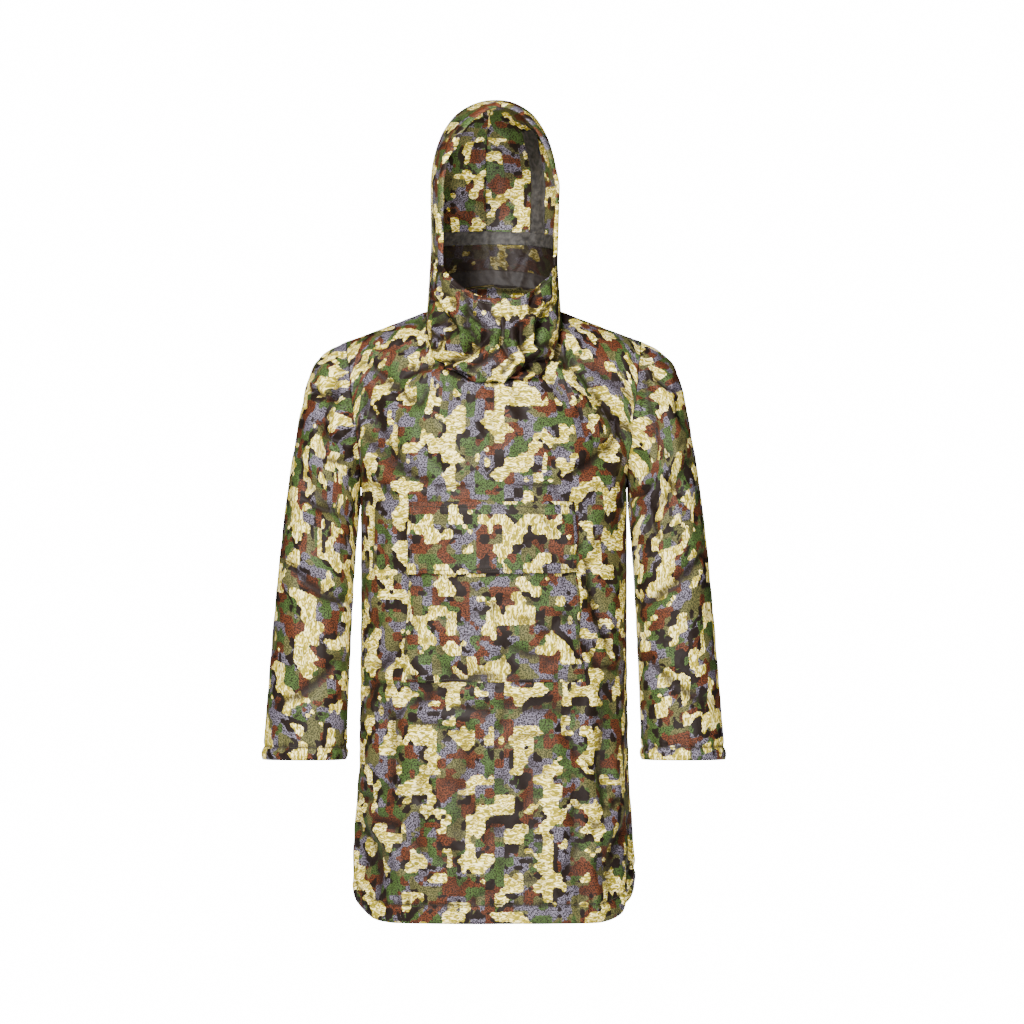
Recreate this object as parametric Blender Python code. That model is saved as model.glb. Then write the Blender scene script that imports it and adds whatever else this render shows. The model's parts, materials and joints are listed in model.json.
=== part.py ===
"""Rain poncho: a hooded pull-on rain smock of thin coated cloth, filled out as it is when worn.

Metres. +Z is up, the front faces -Y and +X is the wearer's left. The origin is the middle of the neck,
level with the shoulders, where the wearer holds the garment up. Each piece that is cut and sewn on is
one object. A piece is a grid of points on the outside of its cloth, made a wall by going inward from
them, so neighbours that share a seam share its points and stay a small gap apart.
"""

from collections import namedtuple

import bpy
import numpy as np

NAME = "rain_poncho"

# Cloth
CLOTH = 0.0015
TAPE = 0.0010
SEAM_GAP = 0.0003
CORNER_GAP = 0.0005  # at seams where two walls meet at an angle
LAID_GAP = 0.0005  # under what lies on another piece

# How finely each piece is laid out
PANEL_COLUMNS = 26
SHOULDER_COLUMNS = 6
SKIRT_ROWS = 16
YOKE_ROWS = 10
SLEEVE_ROWS = 19
COLLAR_ROWS = 8
HOOD_ROWS = 12
HOOD_WALL_ROWS = 4

# Body: the skirt runs from the hem to the armpits, the yoke from there to the shoulders and neckline
BODY_POWER = 2.3
ARMPIT_Z = -0.250
HEM_Z = -0.922
HEM_RISE = 0.058
HEM_RISE_ARC = 0.52  # the share of a panel's half that the hem takes to rise to the side seam
Section = namedtuple("Section", "z half_width front_depth back_depth")
BODY_SECTIONS = (
    Section(z=-0.930, half_width=0.2080, front_depth=0.154, back_depth=0.140),
    Section(z=-0.868, half_width=0.2110, front_depth=0.154, back_depth=0.140),
    Section(z=-0.800, half_width=0.2125, front_depth=0.153, back_depth=0.139),
    Section(z=-0.740, half_width=0.2085, front_depth=0.152, back_depth=0.138),
    Section(z=-0.690, half_width=0.2065, front_depth=0.151, back_depth=0.136),
    Section(z=-0.600, half_width=0.2060, front_depth=0.149, back_depth=0.134),
    Section(z=-0.450, half_width=0.2060, front_depth=0.149, back_depth=0.132),
    Section(z=-0.250, half_width=0.2060, front_depth=0.150, back_depth=0.138),
)
Flute = namedtuple("Flute", "waves depth phase")
HEM_FLUTES = (
    Flute(waves=6, depth=0.0030, phase=0.0),
    Flute(waves=10, depth=0.0022, phase=0.0),
    Flute(waves=14, depth=0.0016, phase=0.0),
)

# Shoulders and neckline
SHOULDER_TIP = (0.228, 0.000, -0.026)
NECK_SIDE = (0.104, 0.000, 0.0205)
Neck = namedtuple("Neck", "depth z power")
FRONT_NECK = Neck(depth=0.116, z=-0.091, power=2.6)
BACK_NECK = Neck(depth=0.098, z=0.062, power=2.1)

# How the cloth leaves the armpit level (out, up) and reaches the shoulder or neckline (over, rise),
# from the armhole (across 0) to the centre (across 0.5)
Column = namedtuple("Column", "across out up over rise")
FRONT_COLUMNS = (
    Column(across=0.00, out=0.230, up=0.120, over=0.270, rise=0.080),
    Column(across=0.07, out=0.090, up=0.240, over=0.270, rise=0.060),
    Column(across=0.14, out=0.020, up=0.290, over=0.270, rise=0.055),
    Column(across=0.23, out=0.010, up=0.310, over=0.250, rise=0.080),
    Column(across=0.34, out=0.008, up=0.240, over=0.130, rise=0.150),
    Column(across=0.50, out=0.005, up=0.170, over=0.060, rise=0.150),
)
BACK_COLUMNS = (
    Column(across=0.00, out=0.240, up=0.120, over=0.290, rise=0.080),
    Column(across=0.07, out=0.110, up=0.240, over=0.280, rise=0.060),
    Column(across=0.14, out=0.060, up=0.280, over=0.270, rise=0.055),
    Column(across=0.23, out=0.060, up=0.300, over=0.250, rise=0.090),
    Column(across=0.34, out=0.050, up=0.310, over=0.170, rise=0.190),
    Column(across=0.50, out=0.045, up=0.320, over=0.110, rise=0.220),
)

# Sleeves: each ring is given by its outer and inner point in the front view, and by its middle (y) and
# half depth in the side view
SLEEVE_POWER = 2.2
SLEEVE_FIT = 0.30  # the share of the sleeve in which it takes over from the armhole's own outline
Ring = namedtuple("Ring", "row outer_x outer_z inner_x inner_z y half_depth")
SLEEVE_RINGS = (
    Ring(row=0, outer_x=0.2280, outer_z=-0.026, inner_x=0.2063, inner_z=-0.250, y=0.000, half_depth=0.064),
    Ring(row=1, outer_x=0.2560, outer_z=-0.040, inner_x=0.2067, inner_z=-0.262, y=-0.001, half_depth=0.068),
    Ring(row=2, outer_x=0.2755, outer_z=-0.057, inner_x=0.2072, inner_z=-0.275, y=-0.002, half_depth=0.071),
    Ring(row=3, outer_x=0.2885, outer_z=-0.086, inner_x=0.2080, inner_z=-0.290, y=-0.004, half_depth=0.073),
    Ring(row=4, outer_x=0.2975, outer_z=-0.124, inner_x=0.2092, inner_z=-0.306, y=-0.006, half_depth=0.074),
    Ring(row=5, outer_x=0.3070, outer_z=-0.175, inner_x=0.2110, inner_z=-0.325, y=-0.009, half_depth=0.075),
    Ring(row=6, outer_x=0.3165, outer_z=-0.235, inner_x=0.2128, inner_z=-0.347, y=-0.013, half_depth=0.075),
    Ring(row=7, outer_x=0.3250, outer_z=-0.300, inner_x=0.2148, inner_z=-0.376, y=-0.018, half_depth=0.074),
    Ring(row=8, outer_x=0.3325, outer_z=-0.370, inner_x=0.2172, inner_z=-0.415, y=-0.023, half_depth=0.073),
    Ring(row=9, outer_x=0.3400, outer_z=-0.450, inner_x=0.2200, inner_z=-0.473, y=-0.029, half_depth=0.072),
    Ring(row=10, outer_x=0.3465, outer_z=-0.530, inner_x=0.2232, inner_z=-0.540, y=-0.035, half_depth=0.070),
    Ring(row=11, outer_x=0.3525, outer_z=-0.605, inner_x=0.2258, inner_z=-0.607, y=-0.040, half_depth=0.068),
    Ring(row=12, outer_x=0.3577, outer_z=-0.672, inner_x=0.2283, inner_z=-0.672, y=-0.044, half_depth=0.067),
)

# Hood and neck band. Bearings are degrees round the neck from the centre front
HOOD_TURN = 6.0  # degrees, towards the wearer's left
HOOD_HALF_WIDTH = 0.098
HOOD_HALF_DEPTH = 0.118
HOOD_MIDDLE_Y = 0.008
HOOD_POWER = 2.35
BAND_COLUMNS = 56
RIM_COLUMN = 9  # columns of the neck band from its centre front to the hood's rim
Edge = namedtuple("Edge", "bearing z draw_in")
BAND_TOP = (
    Edge(bearing=0, z=0.039, draw_in=0.010),
    Edge(bearing=15, z=0.040, draw_in=0.008),
    Edge(bearing=30, z=0.050, draw_in=0.004),
    Edge(bearing=45, z=0.069, draw_in=0.001),
    Edge(bearing=58, z=0.088, draw_in=0.001),
    Edge(bearing=75, z=0.109, draw_in=0.001),
    Edge(bearing=90, z=0.122, draw_in=0.001),
    Edge(bearing=130, z=0.134, draw_in=0.003),
    Edge(bearing=180, z=0.138, draw_in=0.006),
)
COWL_FULLNESS = 0.017
COWL_BEARING = 80.0
DOME_Z = 0.200
# The hood's centre line and dome, from its rim (along 0) to the back of the head (along 1)
Ridge = namedtuple("Ridge", "along y z power pull")
HOOD_RIDGE = (
    Ridge(along=0.00, y=-0.105, z=0.333, power=1.87, pull=-0.012),
    Ridge(along=0.12, y=-0.085, z=0.340, power=2.10, pull=-0.008),
    Ridge(along=0.30, y=-0.050, z=0.346, power=2.35, pull=-0.003),
    Ridge(along=0.55, y=-0.005, z=0.347, power=2.30, pull=0.000),
    Ridge(along=0.80, y=0.040, z=0.341, power=2.20, pull=0.003),
    Ridge(along=1.00, y=0.074, z=0.328, power=2.05, pull=0.008),
)

# Pocket, in the front view
Corner = namedtuple("Corner", "z left right")
POCKET_SIDES = (
    Corner(z=-0.2745, left=-0.1285, right=0.1255),
    Corner(z=-0.4200, left=-0.1330, right=0.1287),
    Corner(z=-0.5510, left=-0.1405, right=0.1390),
)
POCKET_TOP = -0.313
POCKET_BOTTOM = -0.551
FLAP_TOP = -0.2745
FLAP_BOTTOM = -0.3845
FLAP_LIFT = 0.0030

# Seam tapes inside the back of the neck
TAPE_WIDTH = 0.022
TAPE_BEARING = 100.0
NECK_TAPE_ROWS = (0.2, 1.0, 2.0, 2.8)  # rows of the neck band's grid

# Main folds, as lines in the front view: troughs where depth is positive, ridges where it is negative
Fold = namedtuple("Fold", "face x1 z1 x2 z2 width depth")
BODY_FOLDS = (
    Fold(face="front", x1=0.115, z1=-0.060, x2=0.215, z2=-0.190, width=0.024, depth=0.0090),
    Fold(face="front", x1=-0.205, z1=-0.110, x2=-0.150, z2=-0.215, width=0.024, depth=0.0070),
    Fold(face="front", x1=0.168, z1=-0.575, x2=0.170, z2=-0.740, width=0.022, depth=0.0085),
    Fold(face="front", x1=0.153, z1=-0.385, x2=0.180, z2=-0.490, width=0.019, depth=0.0045),
    Fold(face="front", x1=0.207, z1=-0.780, x2=0.180, z2=-0.880, width=0.024, depth=0.0095),
    Fold(face="front", x1=-0.208, z1=-0.780, x2=-0.182, z2=-0.890, width=0.024, depth=0.0085),
    Fold(face="front", x1=-0.165, z1=-0.570, x2=-0.160, z2=-0.720, width=0.024, depth=0.0065),
    Fold(face="front", x1=-0.040, z1=-0.640, x2=-0.055, z2=-0.900, width=0.032, depth=0.0050),
    Fold(face="back", x1=-0.110, z1=-0.120, x2=-0.190, z2=-0.240, width=0.026, depth=0.0085),
    Fold(face="back", x1=0.115, z1=-0.110, x2=0.185, z2=-0.230, width=0.026, depth=0.0070),
    Fold(face="back", x1=0.090, z1=-0.420, x2=0.120, z2=-0.800, width=0.028, depth=0.0090),
    Fold(face="back", x1=-0.070, z1=-0.480, x2=-0.095, z2=-0.850, width=0.028, depth=0.0095),
    Fold(face="back", x1=0.010, z1=-0.300, x2=0.000, z2=-0.620, width=0.028, depth=0.0060),
)
SLEEVE_FOLDS = (
    Fold(face="front", x1=0.232, z1=-0.060, x2=0.262, z2=-0.200, width=0.020, depth=0.0080),
    Fold(face="front", x1=0.222, z1=-0.300, x2=0.300, z2=-0.220, width=0.019, depth=0.0070),
    Fold(face="front", x1=0.225, z1=-0.430, x2=0.315, z2=-0.370, width=0.020, depth=0.0065),
    Fold(face="front", x1=0.240, z1=-0.520, x2=0.330, z2=-0.585, width=0.020, depth=0.0055),
    Fold(face="back", x1=0.225, z1=-0.240, x2=0.295, z2=-0.160, width=0.020, depth=0.0080),
    Fold(face="back", x1=0.225, z1=-0.360, x2=0.315, z2=-0.420, width=0.020, depth=0.0070),
    Fold(face="back", x1=0.240, z1=-0.500, x2=0.335, z2=-0.470, width=0.020, depth=0.0055),
)
COWL_FOLDS = (
    Fold(face="front", x1=-0.078, z1=-0.058, x2=-0.010, z2=-0.018, width=0.0100, depth=0.0080),
    Fold(face="front", x1=-0.070, z1=-0.030, x2=-0.020, z2=0.000, width=0.0090, depth=-0.0040),
    Fold(face="front", x1=-0.092, z1=0.030, x2=-0.060, z2=-0.008, width=0.0090, depth=0.0080),
    Fold(face="front", x1=0.046, z1=-0.012, x2=0.056, z2=-0.062, width=0.0095, depth=0.0080),
    Fold(face="front", x1=0.066, z1=-0.045, x2=0.040, z2=-0.072, width=0.0090, depth=-0.0045),
    Fold(face="front", x1=0.090, z1=0.020, x2=0.070, z2=-0.030, width=0.0095, depth=0.0060),
    Fold(face="front", x1=-0.040, z1=0.026, x2=-0.022, z2=-0.010, width=0.0090, depth=0.0050),
)

# Finish of each piece: sRGB colour, roughness
Finish = namedtuple("Finish", "colour roughness")
COATED_CLOTH = Finish(colour="8B8459", roughness=0.50)
FOLDED_CLOTH = Finish(colour="7E7752", roughness=0.52)
SEAM_TAPE = Finish(colour="55534F", roughness=0.45)


# ---------------------------------------------------------------- reading tables, and small mathematics


def smooth(t):
    """0 below 0, 1 above 1, and a soft rise between them."""
    t = np.clip(t, 0.0, 1.0)
    return t * t * (3.0 - 2.0 * t)


def unit(vectors):
    return vectors / np.linalg.norm(vectors, axis=-1, keepdims=True)


def read(table, key, name, at):
    """The column called name, at the values at of the column called key, on a smooth curve."""
    x = np.array([getattr(row, key) for row in table], float)
    y = np.array([getattr(row, name) for row in table], float)
    slope = np.gradient(y, x)
    at = np.clip(at, x[0], x[-1])
    k = np.clip(np.searchsorted(x, at, side="right") - 1, 0, len(x) - 2)
    span = x[k + 1] - x[k]
    t = (at - x[k]) / span
    return (
        (1 + 2 * t) * (1 - t) ** 2 * y[k]
        + t * (1 - t) ** 2 * span * slope[k]
        + t**2 * (3 - 2 * t) * y[k + 1]
        + t**2 * (t - 1) * span * slope[k + 1]
    )


def squared_circle(angle, power):
    """Cosine and sine of a superellipse: a circle for a power of 2, squarer above it."""
    c, s = np.cos(angle), np.sin(angle)
    reach = (np.abs(c) ** power + np.abs(s) ** power) ** (-1.0 / power)
    return reach * c, reach * s


def points(x, y, z):
    return np.stack(np.broadcast_arrays(x, y, z), axis=-1).astype(float)


def turned(p, degrees, middle_y):
    """The points turned about a vertical line through (0, middle_y)."""
    a = np.radians(degrees)
    x, y = p[..., 0], p[..., 1] - middle_y
    return points(x * np.cos(a) - y * np.sin(a), x * np.sin(a) + y * np.cos(a) + middle_y, p[..., 2])


def half_turned(p):
    return p * np.array((-1.0, -1.0, 1.0))


# ------------------------------------------------------------------------------------- cloth as a grid


class Cloth:
    """One piece: a grid of points on its outside, and the way into its wall at each of them."""

    def __init__(self, grid, ring=False):
        self.grid = np.array(grid)
        self.ring = ring
        self.inward = -self.outward_normals()

    def outward_normals(self):
        if self.ring:
            across = np.roll(self.grid, -1, axis=1) - np.roll(self.grid, 1, axis=1)
        else:
            across = np.gradient(self.grid, axis=1)
        return unit(np.cross(across, np.gradient(self.grid, axis=0)))

    def crease(self, folds):
        """Presses the folds into the grid. The edges, which are seams, stay where they are."""
        normals = -self.inward
        depth = np.zeros(self.grid.shape[:2])
        x, z = self.grid[..., 0], self.grid[..., 2]
        for fold in folds:
            run = np.array((fold.x2 - fold.x1, fold.z2 - fold.z1))
            length = np.linalg.norm(run)
            along = ((x - fold.x1) * run[0] + (z - fold.z1) * run[1]) / length**2
            held = np.clip(along, 0.0, 1.0)
            away = np.hypot(x - fold.x1 - held * run[0], z - fold.z1 - held * run[1])
            facing = -normals[..., 1] if fold.face == "front" else normals[..., 1]
            taper = 0.45 + 0.55 * np.sin(np.pi * held)
            depth += fold.depth * taper * np.exp(-((away / fold.width) ** 2)) * smooth(facing / 0.5)
        depth[[0, -1]] = 0.0
        if not self.ring:
            depth[:, [0, -1]] = 0.0
        self.grid -= normals * depth[..., None]
        self.inward = -self.outward_normals()


class Seam:
    """A run of a piece's edge points: their places in the grid, and the places one step further in."""

    def __init__(self, cloth, rows, columns, inner_rows, inner_columns):
        self.cloth = cloth
        rows, columns, inner_rows, inner_columns = np.broadcast_arrays(
            rows, columns, inner_rows, inner_columns
        )
        self.at = (rows, columns % cloth.grid.shape[1])
        self.within = (inner_rows, inner_columns % cloth.grid.shape[1])

    def draw_back(self, distance):
        inside = self.cloth.grid[self.within] - self.cloth.grid[self.at]
        self.cloth.grid[self.at] += unit(inside) * distance


def row_seam(cloth, row, columns):
    """A seam along the first row (0) or the last row (-1)."""
    return Seam(cloth, row, columns, 1 if row == 0 else -2, columns)


def side_seam(cloth, column, rows):
    """A seam along the first column (0) or the last column (-1)."""
    return Seam(cloth, rows, column, rows, 1 if column == 0 else -2)


def sew(one, other, gap=SEAM_GAP):
    """Parts two seams that share their points by the seam gap. Where the cloth runs on over the seam
    both rims get one direction, and where it folds back each rim keeps its own."""
    ways = (one.cloth.inward[one.at], other.cloth.inward[other.at])
    alike = smooth(((ways[0] * ways[1]).sum(-1, keepdims=True) + 0.2) / 0.7)
    for seam, own, next_to in zip((one, other), ways, ways[::-1]):
        seam.cloth.inward[seam.at] = unit(own + next_to * alike)
        seam.draw_back(gap / 2)


def wall(name, outer, inner, ring, finish, collection):
    """A closed wall between two grids of points, as one object with its own material."""
    rows, columns = outer.shape[:2]
    spans = columns if ring else columns - 1
    first = np.arange(rows * columns).reshape(rows, columns)
    second = first + rows * columns
    faces = []

    def strip(a, b, c, d):
        faces.append((a, b, c))
        faces.append((a, c, d))

    for i in range(rows - 1):
        for j in range(spans):
            k = (j + 1) % columns
            strip(first[i, j], first[i, k], first[i + 1, k], first[i + 1, j])
            strip(second[i, k], second[i, j], second[i + 1, j], second[i + 1, k])
    for j in range(spans):
        k = (j + 1) % columns
        strip(first[0, k], first[0, j], second[0, j], second[0, k])
        strip(first[-1, j], first[-1, k], second[-1, k], second[-1, j])
    if not ring:
        for i in range(rows - 1):
            strip(first[i, 0], first[i + 1, 0], second[i + 1, 0], second[i, 0])
            strip(first[i + 1, -1], first[i, -1], second[i, -1], second[i + 1, -1])

    mesh = bpy.data.meshes.new(name)
    vertices = np.concatenate([outer.reshape(-1, 3), inner.reshape(-1, 3)])
    mesh.from_pydata(vertices.tolist(), [], [tuple(int(n) for n in face) for face in faces])
    mesh.shade_smooth()
    mesh.set_sharp_from_angle(angle=np.radians(50.0))
    mesh.materials.append(material(name + "_cloth", finish))
    made = bpy.data.objects.new(name, mesh)
    collection.objects.link(made)
    return made


def material(name, finish):
    made = bpy.data.materials.new(name)
    made.use_nodes = True
    shader = made.node_tree.nodes["Principled BSDF"]
    srgb = np.array([int(finish.colour[i : i + 2], 16) / 255.0 for i in (0, 2, 4)])
    linear = np.where(srgb <= 0.04045, srgb / 12.92, ((srgb + 0.055) / 1.055) ** 2.4)
    shader.inputs["Base Color"].default_value = (*linear, 1.0)
    shader.inputs["Roughness"].default_value = finish.roughness
    shader.inputs["Metallic"].default_value = 0.0
    made.diffuse_color = (*linear, 1.0)
    return made


# ------------------------------------------------------------------------------------------------- body


def hem_height(across):
    """The hem's height over a panel, from side seam (0) to side seam (1): it rises towards both."""
    from_seam = 1.0 - np.abs(2.0 * across - 1.0)
    return HEM_Z + HEM_RISE * np.clip(1.0 - from_seam / HEM_RISE_ARC, 0.0, 1.0) ** 2


def skirt(across, up, depth_name):
    """The panel below the armpits, facing +Y: across from +X to -X, up from hem to armpit."""
    z = hem_height(across) + (ARMPIT_Z - hem_height(across)) * up
    angle = np.pi * across
    c, s = squared_circle(angle, BODY_POWER)
    x = read(BODY_SECTIONS, "z", "half_width", z) * c
    y = read(BODY_SECTIONS, "z", depth_name, z) * s
    swell = sum(flute.depth * np.sin(flute.waves * angle + flute.phase) for flute in HEM_FLUTES)
    swell = swell * (1.0 - smooth(up / 0.75))
    return points(x, y, z) + unit(points(c, s, 0 * c)) * swell[..., None]


def panel_top(across, neck):
    """The upper edge: shoulder seam, neckline, shoulder seam."""
    neck_start = SHOULDER_COLUMNS / PANEL_COLUMNS
    half = np.minimum(across, 1.0 - across)
    side = np.where(across <= 0.5, 1.0, -1.0)
    t = np.clip(half / neck_start, 0.0, 1.0)
    tip, neck_side = np.array(SHOULDER_TIP), np.array(NECK_SIDE)
    shoulder = tip + (neck_side - tip) * t[..., None]
    angle = 0.5 * np.pi * np.clip((half - neck_start) / (0.5 - neck_start), 0.0, 1.0)
    c, s = squared_circle(angle, neck.power)
    neckline = points(
        neck_side[0] * c,
        neck_side[1] + (neck.depth - neck_side[1]) * s,
        neck_side[2] + (neck.z - neck_side[2]) * s,
    )
    edge = np.where((half < neck_start)[..., None], shoulder, neckline)
    edge[..., 0] *= side
    return edge


def yoke(across, up, depth_name, neck, columns):
    """The panel above the armpits, facing +Y: each column is one cubic curve over the shoulder."""
    start = skirt(across, np.ones_like(across), depth_name)
    end = panel_top(across, neck)
    half = np.minimum(across, 1.0 - across)
    zero = np.zeros_like(half)
    leave = points(zero, read(columns, "across", "out", half), read(columns, "across", "up", half))
    reach = points(zero, -read(columns, "across", "over", half), read(columns, "across", "rise", half))
    t = up[..., None]
    return (
        (1 + 2 * t) * (1 - t) ** 2 * start
        + t * (1 - t) ** 2 * leave
        + t**2 * (3 - 2 * t) * end
        + t**2 * (t - 1) * reach
    )


def panel(depth_name, neck, columns):
    """The grid of a whole panel, facing +Y, from hem to shoulders."""
    across = np.linspace(0.0, 1.0, PANEL_COLUMNS + 1)
    lower = [skirt(across, np.full_like(across, j / SKIRT_ROWS), depth_name) for j in range(SKIRT_ROWS)]
    upper = [
        yoke(across, np.full_like(across, j / YOKE_ROWS), depth_name, neck, columns)
        for j in range(YOKE_ROWS + 1)
    ]
    return np.array(lower + upper)


# ---------------------------------------------------------------------------------------------- sleeves


def armhole(front, back, side):
    """The points round an armhole, from its top: by the front on the +X side, by the back on the other."""
    upper = np.arange(SKIRT_ROWS + YOKE_ROWS, SKIRT_ROWS, -1)
    under = np.arange(SKIRT_ROWS, SKIRT_ROWS + YOKE_ROWS)
    first, second = (front, back) if side > 0 else (back, front)
    return (first, -1, upper), (second, 0, under)


def sleeve(side, opening):
    """The grid of a sleeve, row by row from the armhole to the cuff."""
    count = len(opening)
    angle = 2.0 * np.pi * np.arange(count) / count
    c, s = squared_circle(angle, SLEEVE_POWER)
    along = np.linspace(0.0, 1.0, SLEEVE_ROWS + 1)
    grid = np.array([sleeve_ring(row, c, s, side) for row in along * SLEEVE_RINGS[-1].row])
    fit = (1.0 - smooth(along / SLEEVE_FIT))[:, None, None]
    return grid + fit * (opening - grid[0])


def sleeve_ring(row, c, s, side):
    """One ring of a sleeve, from its outer point (cosine 1) round by the front of the left sleeve."""
    outer_x, outer_z, inner_x, inner_z, middle_y, half_depth = (
        read(SLEEVE_RINGS, "row", name, row) for name in Ring._fields[1:]
    )
    x = (outer_x + inner_x) / 2 + (outer_x - inner_x) / 2 * c
    z = (outer_z + inner_z) / 2 + (outer_z - inner_z) / 2 * c
    return points(side * x, middle_y - side * half_depth * s, z)


# ---------------------------------------------------------------------------------- neck band and hood


def hood_plan(bearing, half_width, half_depth):
    """A point of the hood's plan outline: bearing 0 is the front, 90 the wearer's left."""
    s, c = squared_circle(np.radians(90.0 - bearing), HOOD_POWER)
    return half_width * s, HOOD_MIDDLE_Y - half_depth * c


def band_bearings():
    """Bearing of each column of the neck band, from the wearer's right side round by the front."""
    return (np.arange(BAND_COLUMNS) - BAND_COLUMNS / 4) * 360.0 / BAND_COLUMNS


def wrapped(bearing):
    """The size of a bearing, 0 to 180 on either side."""
    return np.abs((bearing + 180.0) % 360.0 - 180.0)


def band_top():
    """The neck band's upper edge: the free edge under the face, then the seam of the hood."""
    bearing = band_bearings()
    size = wrapped(bearing)
    inward = read(BAND_TOP, "bearing", "draw_in", size)
    x, y = hood_plan(bearing, HOOD_HALF_WIDTH - inward, HOOD_HALF_DEPTH - inward)
    return turned(points(x, y, read(BAND_TOP, "bearing", "z", size)), HOOD_TURN, HOOD_MIDDLE_Y)


def halved(loop):
    """A closed loop with a point added in the middle of each of its chords."""
    middles = (loop + np.roll(loop, -1, axis=0)) / 2
    return np.stack([loop, middles], axis=1).reshape(-1, 3)


def neck_band(neckline):
    """The grid of the neck band, slack in front, where it falls over the neckline as a cowl."""
    top = band_top()
    size = wrapped(band_bearings())
    slack = COWL_FULLNESS * (1.0 - smooth(size / COWL_BEARING))
    outward = unit(points(top[:, 0], top[:, 1] - HOOD_MIDDLE_Y, 0 * size))
    rows = []
    for j in range(COLLAR_ROWS + 1):
        t = j / COLLAR_ROWS
        belly = np.sin(np.pi * t**0.55) * (1.0 - 0.35 * t)
        row = neckline + (top - neckline) * t + outward * (slack * belly)[:, None]
        row[:, 2] -= 0.35 * slack * belly * (1.0 - t)
        rows.append(row)
    return np.array(rows)


def hood_half(side, seam):
    """The grid of one half of the hood: up from the neck band, and over to the centre seam."""
    spans = len(seam) - 1
    bearing = side * (360.0 / BAND_COLUMNS) * (RIM_COLUMN + np.arange(spans + 1))
    if side < 0:
        bearing = bearing[::-1]
    from_rim = np.linspace(0.0, 1.0, spans + 1)
    along = from_rim if side > 0 else from_rim[::-1]
    x, y = hood_plan(bearing, HOOD_HALF_WIDTH, HOOD_HALF_DEPTH)
    y = y + read(HOOD_RIDGE, "along", "pull", along)
    x = np.where(along == 1.0, 0.0, x)
    ridge_y = read(HOOD_RIDGE, "along", "y", along)
    rise = read(HOOD_RIDGE, "along", "z", along) - DOME_Z
    power = read(HOOD_RIDGE, "along", "power", along)
    dome_foot = points(x, y, DOME_Z)
    rows = []
    for j in range(HOOD_WALL_ROWS):
        t = j / HOOD_WALL_ROWS
        foot = turned(dome_foot, HOOD_TURN, HOOD_MIDDLE_Y)
        row = seam + (foot - seam) * t
        row[:, :2] += (foot - seam)[:, :2] * 0.5 * t * (1.0 - t)
        rows.append(row)
    for j in range(HOOD_ROWS - HOOD_WALL_ROWS + 1):
        angle = 0.5 * np.pi * j / (HOOD_ROWS - HOOD_WALL_ROWS)
        c, s = squared_circle(angle, power)
        row = points(x * c, ridge_y + (y - ridge_y) * c, DOME_Z + rise * s)
        rows.append(turned(row, HOOD_TURN, HOOD_MIDDLE_Y))
    return np.array(rows)


# ------------------------------------------------------------------------------- what lies on the cloth


def sample(grid, row, column):
    """The grid's value at a fractional row and column, on the two triangles that wall() makes there."""
    i = np.clip(np.floor(row).astype(int), 0, grid.shape[0] - 2)
    j = np.clip(np.floor(column).astype(int), 0, grid.shape[1] - 2)
    a, b = (row - i)[..., None], (column - j)[..., None]
    start, end = grid[i, j], grid[i + 1, j + 1]
    below = start + (grid[i, j + 1] - start) * b + (end - grid[i, j + 1]) * a
    above = start + (grid[i + 1, j] - start) * a + (end - grid[i + 1, j]) * b
    return np.where(b >= a, below, above)


def patch(front, z_low, z_high):
    """Where a patch between two heights meets the front panel's grid: fractional rows and columns."""
    middle = PANEL_COLUMNS // 2
    heights = front.grid[: SKIRT_ROWS + 3, middle, 2]
    low, high = np.interp((z_low, z_high), heights, np.arange(len(heights)))
    inner = np.arange(np.ceil(low + 0.15), np.floor(high - 0.15) + 1)
    rows = np.concatenate([[low], inner, [high]])
    columns = []
    for row in rows:
        whole = np.arange(PANEL_COLUMNS + 1.0)
        line = sample(front.grid, np.full_like(whole, row), np.minimum(whole, PANEL_COLUMNS - 1e-9))
        z = np.interp(row, np.arange(len(heights)), heights)
        edges = [float(read(POCKET_SIDES[::-1], "z", name, z)) for name in ("left", "right")]
        columns.append(np.interp(edges, line[:, 0], whole))
    columns = np.array(columns)
    inner = np.arange(np.ceil(columns[:, 0].max() + 0.1), np.floor(columns[:, 1].min() - 0.1) + 1)
    across = np.array([np.concatenate([[start], inner, [end]]) for start, end in columns])
    return np.repeat(rows[:, None], across.shape[1], axis=1), across


def laid_on(front, rows, columns, lift):
    """Outer and inner grids of a piece that lies on the front panel, lift above it."""
    base = sample(front.grid, rows, columns)
    out = -unit(sample(front.inward, rows, columns))
    return base + out * (lift + CLOTH)[..., None], base + out * lift[..., None]


def pocket(front):
    rows, columns = patch(front, POCKET_BOTTOM, POCKET_TOP)
    return laid_on(front, rows, columns, np.full(rows.shape, LAID_GAP))


def pocket_flap(front):
    """The flap starts on the panel and steps out over the top of the pouch."""
    rows, columns = patch(front, FLAP_BOTTOM, FLAP_TOP)
    step = (POCKET_TOP + FLAP_TOP) / 2
    middle = PANEL_COLUMNS // 2
    at = np.interp(step, front.grid[: SKIRT_ROWS + 3, middle, 2], np.arange(SKIRT_ROWS + 3))
    above = np.searchsorted(rows[:, 0], at)
    rows = np.insert(rows, above, at, axis=0)
    columns = np.insert(columns, above, columns[above], axis=0)
    z = sample(front.grid, rows, columns)[..., 2]
    over = smooth((FLAP_TOP - z) / (FLAP_TOP - step))
    droop = smooth((step - z) / (step - FLAP_BOTTOM))
    lift = LAID_GAP + (CLOTH + LAID_GAP) * over + FLAP_LIFT * droop**2
    return laid_on(front, rows, columns, lift)


def down_column(cloth, columns, row, other_row, distance):
    """Points that far from a row towards another, along the cloth, with the way in at each."""
    start, end = cloth.grid[row, columns], cloth.grid[other_row, columns]
    t = distance / np.linalg.norm(end - start, axis=-1, keepdims=True)
    way = unit(cloth.inward[row, columns] * (1 - t) + cloth.inward[other_row, columns] * t)
    return start + (end - start) * t, way


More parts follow.
